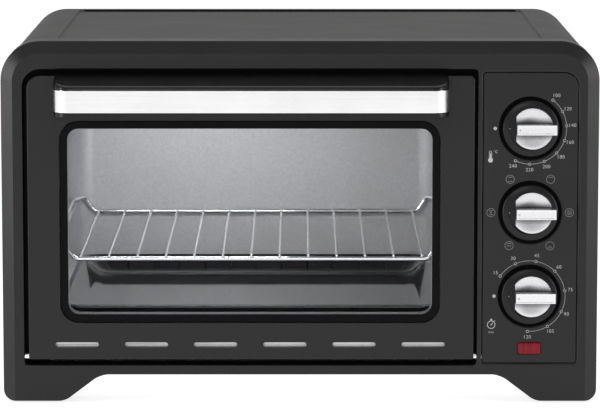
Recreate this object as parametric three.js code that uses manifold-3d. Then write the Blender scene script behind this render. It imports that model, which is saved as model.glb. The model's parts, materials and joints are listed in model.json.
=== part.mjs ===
// Benchtop toaster oven, in millimetres: +Z up, +X to the right of someone who faces the door, and the
// door on the -Y side. The origin is on the table, at the middle of the width and of the whole depth.
import * as THREE from "three";
import { mergeVertices } from "three/addons/utils/BufferGeometryUtils.js";
import Module from "manifold-3d";

const wasm = await Module();
wasm.setup();

// ---- Driving dimensions ----------------------------------------------------------------------------
// Whole oven. Depths are measured backwards from the front frame's face.
const WIDTH = 475;
const HEIGHT = 290;
const BODY_DEPTH = 340;
const HANDLE_REACH = 29;
const GLAND_REACH = 11;
const GAP = 0.3; // clearance kept wherever two pieces touch
const SHEET = 0.7; // sheet steel of the outer shell

// Front frame.
const FRAME_DEPTH = 30;
const FRAME_WALL = 3;
const FRAME_PLATE = 3.5;
const FRAME_CORNER_R = 31.5;
const RIM_WIDTH = 8;
const RIM_DEPTH = 6;
const LIP_WALL = 4;
const LIP_DEPTH = 16;
const FOOT_CORNER_R = 7.5;
const FOOT_TOE = 49.4;
const FOOT_TOE_R = 14;
const SKIRT_Z = 23;
const SKIRT_R = 20;
const ARCH_SLOPE = THREE.MathUtils.degToRad(37);
const PAD_HEIGHT = 1.2;
const PAD_R = 8;

// Door, seen from the front.
const DOOR_LEFT_MARGIN = 20.8;
const DOOR_TOP_MARGIN = 27;
const DOOR_BOTTOM_Z = 35.1;
const DOOR_SIDE_GAP = 3.4;
const DOOR_RIGHT_GAP = 2.3;
const DOOR_TOP_GAP = 5;
const DOOR_BOTTOM_GAP = 4.5;
const DOOR_THICKNESS = 16;
const DOOR_PROUD = 1;
const DOOR_PLATE = 5;
const DOOR_FLANGE = 3;
const DOOR_RADII = [1.5, 1.5, 4, 10.5]; // bottom left, bottom right, top right, top left
const OPENING_RADII = [3, 3, 3, 14.5];

// Window in the door.
const WINDOW_MARGIN = { left: 31.9, right: 33.5, bottom: 36.2, top: 42.3 };
const WINDOW_R = 9;
const WINDOW_BORDER = 6.2;
const GLASS_THICKNESS = 4;
const GLASS_LAP = 6;

// Vent slots along the door's foot.
const SLOT_COUNT = 6;
const SLOT_WIDTH = 34.7;
const SLOT_HEIGHT = 4.1;
const SLOT_PITCH = 55.3;
const SLOT_RISE = 10;

// Door hinge.
const HINGE_RISE = 1.9; // pin's centre above the door's lower edge
const HINGE_INSET = 5.5; // pin's centre behind the door's face
const PIN_R = 2.5;
const PIN_PLAY = 0.4;
const PIN_LENGTH = 17;
const BUSH_WALL = 0.7;
const HINGE_BLOCK = [14, 9.4];

// Handle.
const HANDLE_MARGIN = { left: 22.4, right: 21.2 };
const HANDLE_RISE = 1.4; // its top edge above the door's
const HANDLE_HEIGHT = 31.7;
const HANDLE_FRONT_DROP = 7.5;
const HANDLE_WALL = 3.2;
const HANDLE_SHELF = 6.5;
const HANDLE_R = 14;
const TRIM_HEIGHT = 17.5;
const TRIM_LIP = 3.6;
const TRIM_SHEET = 0.8;
const SCREW_R = 2;
const SCREW_INSET = 34;
const SCREW_HEAD_R = 4;
const SCREW_HEAD = 2.2;

// Control panel and knobs.
const PANEL_GAP = 4.4; // divider between the door's opening and the panel's
const PANEL_WIDTH = 75.2;
const PANEL_MARGIN = { right: 16.9, top: 24.7 };
const PANEL_BOTTOM_Z = 32.3;
const PANEL_RECESS = 0.8;
const PANEL_THICKNESS = 5.5;
const PANEL_RADII = [2, 2, 11.5, 2];
const KNOB_PITCH = 67.3;
const KNOB_RISE = 4.8; // middle knob above the panel's middle
const KNOB_RECESS_PLAY = 3.3;
const KNOB_RECESS = 2.5;
const KNOB_R = 22.4;
const KNOB_SKIRT = 6.2;
const KNOB_FLOOR = 3.2;
const CAP_RIM = 5.7; // the skirt's edge beyond the cap
const CAP_PLATE = 2.4;
const CAP_BAR_WIDTH = 8.4;
const CAP_CUT = 5.1; // the disc's left edge is cut off here, where the grip bar starts
const CAP_BAR_OVERHANG = 3.5; // grip bar beyond the disc's right edge
const CAP_BAR_HEIGHT = 12.5;
const SHAFT_R = 3;
const SHAFT_LENGTH = 16;
const SHAFT_PLAY = 0.8;
const PILOT_WIDTH = 18.6;
const PILOT_HEIGHT = 9.6;
const PILOT_Z = 44.1;
const PILOT_R = 2;
const PILOT_PROUD = 0.4;
const PILOT_HOLDER = { half: 12, rise: 8, depth: 13 };
const THERMOSTAT_BODY = { half: 17, rise: 15, depth: 24 };
const SELECTOR_BODY = { half: 20, rise: 17, depth: 30 };
const TIMER_BODY = { radius: 24, depth: 40 };

// Casing.
const CASING_INSET = 1.2;
const CASING_BOTTOM_Z = 23;
const BASE_Z = 24;
const REAR_FOOT_R = 13;
const REAR_FOOT_FROM_SIDE = 41.3;
const REAR_FOOT_FROM_BACK = 38;
const GLAND_R = 8;
const GLAND_BORE_R = 4;
const GLAND_FROM_SIDE = 60.3;
const GLAND_Z = 56;
const GLAND_FLANGE = { width: 4, thickness: 3 };
const REAR_FOOT_TAPER = 2;
const SIDE_VENTS = { count: 8, pitch: 9, width: 3.5, bottom: 90, top: 130 };
const BACK_VENTS = { count: 10, pitch: 6.4, width: 3.2, bottom: 190, top: 235 };

// Oven cavity.
const CAVITY_SIDE_MARGIN = 14.2; // door's edge beyond the cavity's wall
const CAVITY_TOP_MARGIN = 18;
const CAVITY_REAR_SPACE = 32.4;
const CAVITY_FLOOR_Z = 31.5;
const CAVITY_SHEET = 0.6;
const CAVITY_CORNER_R = 22;

// Rack and its ledges.
const RACK_Z = 113.6;
const RACK_STEP = 12.6;
const RACK_FRAME_R = 2;
const RACK_WIRE_R = 1.1;
const RACK_WIRES = 13;
const RACK_PITCH = 22.8;
const RACK_SIDE_PLAY = 2.5;
const RACK_END_PLAY = 3.4;
const WIRE_BEND = 3;
const RACK_SHOULDER = 17; // the side wire beyond the low straight stretch
const LEDGE_SHEET = 1;
const LEDGE_DROP = 12;
const RACK_LEDGE_WIDTH = 8;

// Baking tray and its ledges.
const TRAY_RIM_Z = 76;
const TRAY_DEPTH = 14;
const TRAY_RIM = 4.5;
const TRAY_RUN = 15.5;
const TRAY_SHEET = 0.6;
const TRAY_SIDE_PLAY = 8.5;
const TRAY_END_PLAY = 4.6;
const TRAY_CORNER_R = 16;
const TRAY_LEDGE_WIDTH = 12;

// Heating elements.
const HEATER_R = 3.3;
const HEATER_RISE = 11.5; // lower pair above the cavity's floor
const HEATER_DROP = 13; // upper pair below its ceiling
const HEATER_SPREAD = 75;
const BRACKET = { thickness: 3.2, height: 16, overhang: 12 };

// Convection fan in the cavity's right wall.
const FAN_MARGIN = 7; // above and below the guard
const FAN_GUARD_LAP = 5;
const FAN_GUARD_SHEET = 1.2;
const FAN_TIP_GAP = 4;
const FAN_WIDTH = 11;
const FAN_BLADES = 6;
const FAN_BLADE_SHEET = 1.2;
const FAN_HUB_R = 6;
const FAN_DISC = 1;
const FAN_SHAFT_R = 2;
const FAN_MOTOR_R = 22;
const FAN_MOTOR_LENGTH = 30;
const MOTOR_BORE = 12;
const SHIELD_GAP = 17; // heat shield's distance from the cavity's wall

// ---- Values worked out from them -------------------------------------------------------------------
const FRONT_Y = HANDLE_REACH - (HANDLE_REACH + BODY_DEPTH + GLAND_REACH) / 2;
const at = (depth) => FRONT_Y + depth;

const door = { left: -WIDTH / 2 + DOOR_LEFT_MARGIN, bottom: DOOR_BOTTOM_Z };
const panel = { right: WIDTH / 2 - PANEL_MARGIN.right, bottom: PANEL_BOTTOM_Z };
panel.left = panel.right - PANEL_WIDTH;
panel.top = HEIGHT - PANEL_MARGIN.top;
panel.back = PANEL_RECESS + PANEL_THICKNESS;
door.right = panel.left - PANEL_GAP - DOOR_RIGHT_GAP;
door.top = HEIGHT - DOOR_TOP_MARGIN;
door.back = DOOR_THICKNESS - DOOR_PROUD;
const opening = {
  left: door.left - DOOR_SIDE_GAP,
  right: door.right + DOOR_RIGHT_GAP,
  bottom: door.bottom - DOOR_BOTTOM_GAP,
  top: door.top + DOOR_TOP_GAP,
};
const pane = {
  left: door.left + WINDOW_MARGIN.left,
  right: door.right - WINDOW_MARGIN.right,
  bottom: door.bottom + WINDOW_MARGIN.bottom,
  top: door.top - WINDOW_MARGIN.top,
};
const hinge = { depth: HINGE_INSET - DOOR_PROUD, z: door.bottom + HINGE_RISE };
const faceDepth = LIP_DEPTH + GAP;
const cavity = {
  x: (door.left + door.right) / 2,
  left: door.left + CAVITY_SIDE_MARGIN,
  right: door.right - CAVITY_SIDE_MARGIN,
  top: door.top - CAVITY_TOP_MARGIN,
  front: faceDepth + SHEET + GAP,
  back: BODY_DEPTH - CAVITY_REAR_SPACE,
};
const cavityHalf = cavity.right - cavity.x;
cavity.middle = (cavity.front + cavity.back) / 2;
const casingHalf = WIDTH / 2 - CASING_INSET;
const casingTop = HEIGHT - CASING_INSET;
const casingR = FRAME_CORNER_R - CASING_INSET;
const casingFront = FRAME_DEPTH + GAP;
const casingBack = BODY_DEPTH - SHEET - GAP;
const knobX = (panel.left + panel.right) / 2;
const knobMiddleZ = (panel.bottom + panel.top) / 2 + KNOB_RISE;
const capR = KNOB_R - CAP_RIM;
const knobBase = PANEL_RECESS + KNOB_RECESS - 0.5;
const fanDepth = cavity.middle;
const rackSideZ = RACK_Z + RACK_STEP;
const rackLedgeTop = rackSideZ - RACK_FRAME_R - GAP;
const rimWidth = Math.min(RIM_WIDTH, FOOT_CORNER_R - 0.5); // the rim's round ends inside the corners
const glandX = casingHalf - GLAND_FROM_SIDE;
const heaterLowZ = CAVITY_FLOOR_Z + HEATER_RISE;
const heaterHighZ = cavity.top - HEATER_DROP;
// The fan fills the wall between the rack's ledge and the upper elements' bracket.
const fanRoom = [rackLedgeTop, heaterHighZ - BRACKET.height / 2];
const fanZ = (fanRoom[0] + fanRoom[1]) / 2;
const fanGuardR = (fanRoom[1] - fanRoom[0]) / 2 - FAN_MARGIN;
const fanOpeningR = fanGuardR - FAN_GUARD_LAP;
const fanR = fanOpeningR - FAN_TIP_GAP;
const shieldX = cavity.right + CAVITY_SHEET + SHIELD_GAP;

// ---- Solid helpers ---------------------------------------------------------------------------------
function solid(geometry) {
  const bare = geometry.clone();
  bare.deleteAttribute("normal");
  bare.deleteAttribute("uv");
  const merged = mergeVertices(bare, 1e-4);
  const vertProperties = merged.attributes.position.array;
  const triVerts = new Uint32Array(merged.index.array);
  return new wasm.Manifold(new wasm.Mesh({ numProp: 3, vertProperties, triVerts }));
}

function joined(first, ...others) {
  return others.reduce((sum, other) => sum.add(other), first);
}

function cut(body, ...tools) {
  return tools.reduce((rest, tool) => rest.subtract(tool), body);
}

// An outline through corners [x, y, radius], each rounded to its own radius, anticlockwise.
function outline(corners) {
  const points = [];
  corners.forEach(([x, y, radius], i) => {
    const corner = new THREE.Vector2(x, y);
    if (!(radius > 0)) {
      points.push(corner);
      return;
    }
    const [lastX, lastY] = corners.at(i - 1);
    const [nextX, nextY] = corners[(i + 1) % corners.length];
    const back = new THREE.Vector2(lastX - x, lastY - y).normalize();
    const onward = new THREE.Vector2(nextX - x, nextY - y).normalize();
    const half = back.angleTo(onward) / 2;
    const side = Math.sign(onward.cross(back));
    const turn = side * (Math.PI - 2 * half);
    const middle = back.clone().add(onward).normalize();
    const centre = corner.clone().addScaledVector(middle, radius / Math.sin(half));
    const start = corner.clone().addScaledVector(back, radius / Math.tan(half));
    const steps = Math.max(2, Math.ceil(Math.abs(turn) * (radius > 8 ? 4 : 2)));
    for (let step = 0; step <= steps; step += 1) {
      points.push(start.clone().rotateAround(centre, (turn * step) / steps));
    }
  });
  return new THREE.Shape(points);
}

// radii: bottom left, bottom right, top right, top left
function rectangle(left, right, bottom, top, radii = [0, 0, 0, 0]) {
  return outline([
    [left, bottom, radii[0]],
    [right, bottom, radii[1]],
    [right, top, radii[2]],
    [left, top, radii[3]],
  ]);
}

function rounded(left, right, bottom, top, radius) {
  return rectangle(left, right, bottom, top, [radius, radius, radius, radius]);
}

// A front-view outline, from one depth to another.
function slab(shape, from, to) {
  const geometry = new THREE.ExtrudeGeometry(shape, { depth: to - from, bevelEnabled: false });
  geometry.rotateX(Math.PI / 2);
  geometry.translate(0, at(to), 0);
  return solid(geometry);
}

// A plan-view outline in X and depth, from one height to another.
function layer(shape, bottom, top) {
  const geometry = new THREE.ExtrudeGeometry(shape, { depth: top - bottom, bevelEnabled: false });
  geometry.translate(0, FRONT_Y, bottom);
  return solid(geometry);
}

// A side-view outline in depth and Z, from one X to another.
function slice(shape, left, right) {
  const geometry = new THREE.ExtrudeGeometry(shape, { depth: right - left, bevelEnabled: false });
  const axes = [new THREE.Vector3(0, 1, 0), new THREE.Vector3(0, 0, 1), new THREE.Vector3(1, 0, 0)];
  geometry.applyMatrix4(new THREE.Matrix4().makeBasis(...axes));
  geometry.translate(left, FRONT_Y, 0);
  return solid(geometry);
}

function block(left, right, front, back, bottom, top) {
  const geometry = new THREE.BoxGeometry(right - left, back - front, top - bottom);
  geometry.translate((left + right) / 2, at((front + back) / 2), (bottom + top) / 2);
  return solid(geometry);
}

function rodAlongX(radius, left, right, depth, z, sides = 16) {
  const geometry = new THREE.CylinderGeometry(radius, radius, right - left, sides);
  geometry.rotateZ(Math.PI / 2);
  geometry.translate((left + right) / 2, at(depth), z);
  return solid(geometry);
}

function rodAlongY(radius, front, back, x, z, sides = 16) {
  const geometry = new THREE.CylinderGeometry(radius, radius, back - front, sides);
  geometry.translate(x, at((front + back) / 2), z);
  return solid(geometry);
}

// A turned piece on an axis that points out of the front: profile is [radius, distance forward].
function turned(profile, x, depth, z, sides = 32) {
  const points = profile.map(([radius, forward]) => new THREE.Vector2(radius, forward));
  const geometry = new THREE.LatheGeometry(points, sides);
  geometry.rotateX(Math.PI);
  geometry.translate(x, at(depth), z);
  return solid(geometry);
}

// A wire bent through points, with a small round at each bend.
function wire(points, radius, steps) {
  const path = new THREE.CurvePath();
  let last = points[0];
  points.slice(1, -1).forEach((corner, i) => {
    const enter = corner.clone().sub(points[i]).setLength(WIRE_BEND);
    const leave = points[i + 2].clone().sub(corner).setLength(WIRE_BEND);
    const start = corner.clone().sub(enter);
    const end = corner.clone().add(leave);
    path.add(new THREE.LineCurve3(last, start));
    path.add(new THREE.QuadraticBezierCurve3(start, corner, end));
    last = end;
  });
  path.add(new THREE.LineCurve3(last, points.at(-1)));
  const section = new THREE.Shape();
  section.absarc(0, 0, radius, 0, 2 * Math.PI);
  const options = { steps, extrudePath: path, curveSegments: 4, bevelEnabled: false };
  return solid(new THREE.ExtrudeGeometry(section, options));
}

// ---- Finishes --------------------------------------------------------------------------------------
function finish(color, roughness, metalness, opacity = 1) {
  return new THREE.MeshStandardMaterial({
    color,
    roughness,
    metalness,
    opacity,
    transparent: opacity < 1,
  });
}

const FINISH = {
  satinBlack: finish(0x323233, 0.45, 0.1),
  blackPaint: finish(0x3c3c3b, 0.4, 0.3),
  glossBlack: finish(0x141415, 0.15, 0),
  mattBlack: finish(0x1b1b1b, 0.7, 0),
  stainless: finish(0xb9b9bb, 0.3, 0.95),
  chrome: finish(0xd2d2d4, 0.12, 1),
  silver: finish(0xc9c9cb, 0.3, 0.8),
  steel: finish(0xa8a9ab, 0.4, 0.85),
  enamel: finish(0x0d0d0f, 0.08, 0.1),
  heater: finish(0x6a6762, 0.5, 0.6),
  rubber: finish(0x202020, 0.85, 0),
  phenolic: finish(0x2b2622, 0.6, 0),
  redLens: finish(0x8f1a26, 0.15, 0, 0.85),
  glass: finish(0xc8ced0, 0.03, 0, 0.25),
};

const oven = new THREE.Group();

function add(group, name, body, material) {
  const made = body.getMesh();
  const geometry = new THREE.BufferGeometry();
  geometry.setAttribute("position", new THREE.BufferAttribute(made.vertProperties, 3));
  geometry.setIndex(new THREE.BufferAttribute(made.triVerts, 1));
  geometry.computeVertexNormals();
  const mesh = new THREE.Mesh(geometry, material);
  mesh.name = name;
  group.add(mesh);
}

// ---- Front frame, with its two feet ----------------------------------------------------------------
// The frame's silhouette, drawn in by inset all round.
function frameOutline(inset) {
  const half = WIDTH / 2 - inset;
  const bottom = PAD_HEIGHT + GAP + inset;
  const skirt = SKIRT_Z + inset;
  const drift = inset * Math.tan(ARCH_SLOPE / 2);
  const toe = WIDTH / 2 - FOOT_TOE + drift;
  const shoulder = toe - (SKIRT_Z - PAD_HEIGHT - GAP) / Math.tan(ARCH_SLOPE);
  const footR = Math.max(FOOT_CORNER_R - inset, 0.5);
  const cornerR = Math.max(FRAME_CORNER_R - inset, 0.5);
  return outline([
    [-half, bottom, footR],
    [-toe, bottom, FOOT_TOE_R - inset],
    [-shoulder, skirt, SKIRT_R + inset],
    [shoulder, skirt, SKIRT_R + inset],
    [toe, bottom, FOOT_TOE_R - inset],
    [half, bottom, footR],
    [half, HEIGHT - inset, cornerR],
    [-half, HEIGHT - inset, cornerR],
  ]);
}

function openingShape(grow) {
  const radii = OPENING_RADII.map((radius) => radius + grow);
  const { left, right, bottom, top } = opening;
  return rectangle(left - grow, right + grow, bottom - grow, top + grow, radii);
}

function panelShape(grow) {
  const radii = PANEL_RADII.map((radius) => radius + grow);
  return rectangle(panel.left - grow, panel.right + grow, panel.bottom - grow, panel.top + grow, radii);
}

function frontFrame() {
  const options = {
    depth: FRAME_DEPTH,
    bevelEnabled: true,
    bevelThickness: RIM_DEPTH,
    bevelSize: rimWidth,
    bevelOffset: -rimWidth,
    bevelSegments: 3,
  };
  const geometry = new THREE.ExtrudeGeometry(frameOutline(0), options);
  geometry.rotateX(Math.PI / 2);
  geometry.translate(0, at(FRAME_DEPTH + RIM_DEPTH), 0);
  const half = WIDTH / 2 + 1;
  const behind = block(-half, half, FRAME_DEPTH, FRAME_DEPTH + 2 * RIM_DEPTH, -1, HEIGHT + 1);
  const hollow = cut(
    slab(frameOutline(FRAME_WALL), FRAME_PLATE, FRAME_DEPTH + 1),
    slab(openingShape(LIP_WALL), 0, LIP_DEPTH),
    slab(panelShape(LIP_WALL), 0, LIP_DEPTH),
  );
  const bushR = PIN_R + PIN_PLAY + BUSH_WALL + GAP;
  return cut(
    solid(geometry),
    behind,
    hollow,
    slab(openingShape(0), -1, LIP_DEPTH + 1),
    slab(panelShape(0), -1, LIP_DEPTH + 1),
    rodAlongX(bushR, opening.left - LIP_WALL - 1, opening.left + 1, hinge.depth, hinge.z),
    rodAlongX(bushR, opening.right - 1, panel.left + 1, hinge.depth, hinge.z),
  );
}

function hingeBush(left, right) {
  const ring = rodAlongX(PIN_R + PIN_PLAY + BUSH_WALL, left, right, hinge.depth, hinge.z);
  return cut(ring, rodAlongX(PIN_R + PIN_PLAY, left - 1, right + 1, hinge.depth, hinge.z));
}

add(oven, "front_frame", frontFrame(), FINISH.satinBlack);
const leftBush = hingeBush(opening.left - LIP_WALL + GAP, opening.left - GAP);
add(oven, "hinge_bush_left", leftBush, FINISH.steel);
add(oven, "hinge_bush_right", hingeBush(opening.right + GAP, panel.left - GAP), FINISH.steel);

for (const [side, name] of [[-1, "left"], [1, "right"]]) {
  const x = side * (WIDTH / 2 - (FOOT_CORNER_R + FOOT_TOE) / 2);
  const pad = new THREE.CylinderGeometry(PAD_R, PAD_R, PAD_HEIGHT, 24);
  pad.rotateX(Math.PI / 2);
  pad.translate(x, at((RIM_DEPTH + FRAME_DEPTH) / 2), PAD_HEIGHT / 2);
  add(oven, `front_foot_pad_${name}`, solid(pad), FINISH.rubber);
}

// ---- Casing, back, base and rear feet --------------------------------------------------------------
function casingShape(inset, bottom) {
  const half = casingHalf - inset;
  const radius = casingR - inset;
  return rectangle(-half, half, bottom, casingTop - inset, [0, 0, radius, radius]);
}

function outerCasing() {
  const shell = slab(casingShape(0, CASING_BOTTOM_Z), casingFront, casingBack);
  const vents = [];
  const { count, pitch, width, bottom, top } = SIDE_VENTS;
  const first = fanDepth - (count * pitch) / 2 + 2;
  for (let row = 0; row < count; row += 1) {
    const front = first + row * pitch;
    vents.push(block(casingHalf - 5, casingHalf + 5, front, front + width, bottom, top));
  }
  const inside = slab(casingShape(SHEET, CASING_BOTTOM_Z - 1), casingFront - 1, casingBack + 1);
  return cut(shell, inside, ...vents);
}

function backPanel() {
  const sheet = slab(casingShape(0, CASING_BOTTOM_Z), BODY_DEPTH - SHEET, BODY_DEPTH);
  const vents = [];
  const { count, pitch, width, bottom, top } = BACK_VENTS;
  const first = knobX - (count * pitch) / 2 + 2;
  for (let column = 0; column < count; column += 1) {
    const left = first + column * pitch;
    vents.push(block(left, left + width, BODY_DEPTH - 2, BODY_DEPTH + 1, bottom, top));
  }
  const hole = rodAlongY(GLAND_R + GAP, BODY_DEPTH - 2, BODY_DEPTH + 1, glandX, GLAND_Z, 24);
  return cut(sheet, hole, ...vents);
}

function cordGland() {
  const flange = GLAND_R + GLAND_FLANGE.width;
  const flangeFront = GLAND_REACH + SHEET + GAP;
  const flangeBack = flangeFront + GLAND_FLANGE.thickness;
  const profile = [
    [GLAND_BORE_R, 0],
    [GLAND_R - 2, 0],
    [GLAND_R, 3],
    [GLAND_R, flangeFront],
    [flange, flangeFront],
    [flange, flangeBack],
    [GLAND_BORE_R, flangeBack],
    [GLAND_BORE_R, 0],
  ];
  return turned(profile, glandX, BODY_DEPTH + GLAND_REACH, GLAND_Z, 24);
}

add(oven, "outer_casing", outerCasing(), FINISH.blackPaint);
add(oven, "back_panel", backPanel(), FINISH.blackPaint);
add(oven, "cord_gland", cordGland(), FINISH.mattBlack);

const baseHalf = casingHalf - SHEET - GAP;
const basePlate = block(-baseHalf, baseHalf, casingFront, casingBack, BASE_Z, BASE_Z + SHEET);
add(oven, "base_plate", basePlate, FINISH.steel);

for (const [side, name] of [[-1, "left"], [1, "right"]]) {
  const foot = new THREE.CylinderGeometry(REAR_FOOT_R + REAR_FOOT_TAPER, REAR_FOOT_R, BASE_Z - GAP, 24);
  foot.rotateX(Math.PI / 2);
  const y = at(BODY_DEPTH - REAR_FOOT_FROM_BACK);
  foot.translate(side * (casingHalf - REAR_FOOT_FROM_SIDE), y, (BASE_Z - GAP) / 2);
  add(oven, `rear_foot_${name}`, solid(foot), FINISH.mattBlack);
}

// ---- Oven cavity -----------------------------------------------------------------------------------
function cavityPlan(grow, front, back) {
  const radius = CAVITY_CORNER_R + grow;
  return rectangle(cavity.left - grow, cavity.right + grow, front, back, [0, 0, radius, radius]);
}

function cavityWrap() {
  const bottom = CAVITY_FLOOR_Z + GAP;
  const top = cavity.top - GAP;
  const outer = layer(cavityPlan(CAVITY_SHEET, cavity.front, cavity.back), bottom, top);
  const inner = layer(cavityPlan(0, cavity.front - 1, cavity.back - CAVITY_SHEET), bottom - 1, top + 1);
  const { right } = cavity;
  const fanHole = rodAlongX(fanOpeningR, right - 5, right + 5, fanDepth, fanZ, 32);
  return cut(outer, inner, fanHole);
}

function cavityFace() {
  const { left, right, bottom, top } = opening;
  const grow = LIP_WALL - GAP;
  const outer = rounded(left - grow, right + grow - 1, bottom - 2, top + 2, 4);
  const hole = rounded(cavity.left, cavity.right, CAVITY_FLOOR_Z, cavity.top, 3);
  return cut(slab(outer, faceDepth, faceDepth + SHEET), slab(hole, faceDepth - 1, faceDepth + 2));
}

const plate = cavityPlan(2, cavity.front, cavity.back + 1);
const floorSheet = layer(plate, CAVITY_FLOOR_Z - SHEET, CAVITY_FLOOR_Z);
const ceilingSheet = layer(plate, cavity.top, cavity.top + SHEET);
add(oven, "cavity_wrap", cavityWrap(), FINISH.steel);
add(oven, "cavity_face", cavityFace(), FINISH.blackPaint);
add(oven, "cavity_floor", floorSheet, FINISH.steel);
add(oven, "cavity_ceiling", ceilingSheet, FINISH.steel);

// A ledge of L section on each side wall, its shelf at topZ.
function ledge(side, width, topZ) {
  const wall = cavity.x + side * (cavityHalf - GAP);
  const toe = wall - side * width;
  const heel = wall - side * LEDGE_SHEET;
  const front = cavity.front + 6;
  const back = cavity.back - CAVITY_CORNER_R - 4;
  const low = topZ - LEDGE_DROP;
  const shelf = block(Math.min(wall, toe), Math.max(wall, toe), front, back, topZ - LEDGE_SHEET, topZ);
  return joined(shelf, block(Math.min(wall, heel), Math.max(wall, heel), front, back, low, topZ));
}

for (const [side, name] of [[-1, "left"], [1, "right"]]) {
  add(oven, `rack_ledge_${name}`, ledge(side, RACK_LEDGE_WIDTH, rackLedgeTop), FINISH.steel);
  const trayTop = TRAY_RIM_Z - TRAY_SHEET - GAP;
  add(oven, `tray_ledge_${name}`, ledge(side, TRAY_LEDGE_WIDTH, trayTop), FINISH.steel);
}

// ---- Heating elements ------------------------------------------------------------------------------
const heaterDepths = [cavity.middle - HEATER_SPREAD, cavity.middle + HEATER_SPREAD];
const heaterRows = [["upper", heaterHighZ], ["lower", heaterLowZ]];
for (const [row, z] of heaterRows) {
  heaterDepths.forEach((depth, i) => {
    const rod = rodAlongX(HEATER_R, cavity.left + 2 * GAP, cavity.right - 2 * GAP, depth, z, 12);
    add(oven, `heater_${row}_${["front", "rear"][i]}`, rod, FINISH.heater);
  });
  for (const [side, name] of [[-1, "left"], [1, "right"]]) {
    const wall = cavity.x + side * (cavityHalf - GAP);
    const inner = wall - side * BRACKET.thickness;
    const ends = [Math.min(wall, inner), Math.max(wall, inner)];
    const front = heaterDepths[0] - BRACKET.overhang;
    const back = heaterDepths[1] + BRACKET.overhang;
    const bar = block(...ends, front, back, z - BRACKET.height / 2, z + BRACKET.height / 2);
    const holes = heaterDepths.map((depth) =>
      rodAlongX(HEATER_R + GAP, ends[0] - 1, ends[1] + 1, depth, z, 12),
    );
    add(oven, `heater_bracket_${row}_${name}`, cut(bar, ...holes), FINISH.steel);
  }
}

// ---- Heat shield and convection fan ----------------------------------------------------------------
function heatShield() {
  const sheet = block(shieldX, shieldX + SHEET, cavity.front, cavity.back, BASE_Z + 5, cavity.top);
  return cut(sheet, rodAlongX(FAN_SHAFT_R + 1, shieldX - 1, shieldX + 2, fanDepth, fanZ));
}

function fanGuard() {
  const right = cavity.right - GAP;
  const left = right - FAN_GUARD_SHEET;
  const disc = rodAlongX(fanGuardR, left, right, fanDepth, fanZ, 36);
  const slots = [];
  const reach = fanOpeningR - 3;
  const rows = 4;
  const pitch = reach / (rows + 0.7);
  for (let row = -rows; row <= rows; row += 1) {
    const rise = row * pitch;
    const z = fanZ + rise;
    const half = Math.sqrt(reach ** 2 - rise ** 2) - 1;
    const open = pitch * 0.27;
    slots.push(block(left - 1, right + 1, fanDepth - half, fanDepth - 1.5, z - open, z + open));
    slots.push(block(left - 1, right + 1, fanDepth + 1.5, fanDepth + half, z - open, z + open));
  }
  return cut(disc, ...slots);
}

const fanLeft = cavity.right + CAVITY_SHEET + 2;
const motorLeft = shieldX + SHEET + GAP;

function fanBlade() {
  const fanRight = fanLeft + FAN_WIDTH;
  const hub = rodAlongX(FAN_HUB_R, fanLeft, fanRight, fanDepth, fanZ, 20);
  const disc = rodAlongX(fanR, fanRight - FAN_DISC, fanRight, fanDepth, fanZ, 32);
  const bladeLength = fanR - FAN_HUB_R - 2;
  const blades = [];
  for (let count = 0; count < FAN_BLADES; count += 1) {
    const blade = new THREE.BoxGeometry(FAN_WIDTH - 0.5, bladeLength, FAN_BLADE_SHEET);
    blade.translate(0, bladeLength / 2 + FAN_HUB_R - 1, 0);
    blade.rotateX((count * 2 * Math.PI) / FAN_BLADES);
    blade.translate(fanLeft + FAN_WIDTH / 2, at(fanDepth), fanZ);
    blades.push(solid(blade));
  }
  const bore = rodAlongX(FAN_SHAFT_R + GAP, fanLeft + 2, shieldX, fanDepth, fanZ);
  return cut(joined(hub, disc, ...blades), bore);
}

function fanMotor() {
  const can = rodAlongX(FAN_MOTOR_R, motorLeft, motorLeft + FAN_MOTOR_LENGTH, fanDepth, fanZ, 28);
  const bore = rodAlongX(FAN_SHAFT_R + GAP, motorLeft - 1, motorLeft + MOTOR_BORE, fanDepth, fanZ);
  return cut(can, bore);
}

const fan = new THREE.Group();
oven.add(fan);
add(oven, "heat_shield", heatShield(), FINISH.steel);
add(oven, "fan_guard", fanGuard(), FINISH.steel);
add(oven, "fan_motor", fanMotor(), FINISH.steel);
add(fan, "fan_blade", fanBlade(), FINISH.steel);
const fanShaft = rodAlongX(FAN_SHAFT_R, fanLeft + 2 + GAP, motorLeft + MOTOR_BORE - GAP, fanDepth, fanZ, 12);
add(fan, "fan_shaft", fanShaft, FINISH.chrome);

// ---- Control panel ---------------------------------------------------------------------------------
const KNOBS = ["thermostat", "selector", "timer"];
const knobZ = (index) => knobMiddleZ + (1 - index) * KNOB_PITCH;

function pilotShape(grow) {
  const half = PILOT_WIDTH / 2 + grow;
  const rise = PILOT_HEIGHT / 2 + grow;
  return rounded(knobX - half, knobX + half, PILOT_Z - rise, PILOT_Z + rise, PILOT_R + grow);
}

function controlPanel() {
  const floor = PANEL_RECESS + KNOB_RECESS;
  const tools = [slab(pilotShape(GAP), -1, panel.back + 1)];
  KNOBS.forEach((name, i) => {
    tools.push(rodAlongY(KNOB_R + KNOB_RECESS_PLAY, -1, floor, knobX, knobZ(i), 32));
    tools.push(rodAlongY(SHAFT_R + SHAFT_PLAY, 0, panel.back + 1, knobX, knobZ(i)));
  });
  return cut(slab(panelShape(-GAP), PANEL_RECESS, panel.back), ...tools);
}

add(oven, "control_panel", controlPanel(), FINISH.satinBlack);
add(oven, "pilot_lens", slab(pilotShape(0), -PILOT_PROUD, panel.back + 1), FINISH.redLens);
// A body behind the panel, its middle on the controls' line.
function bodyBlock(size, front, z) {
  const { half, rise, depth } = size;
  return block(knobX - half, knobX + half, front, front + depth, z - rise, z + rise);
}

const holder = bodyBlock(PILOT_HOLDER, panel.back + 1 + GAP, PILOT_Z);
add(oven, "pilot_holder", holder, FINISH.mattBlack);

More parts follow.
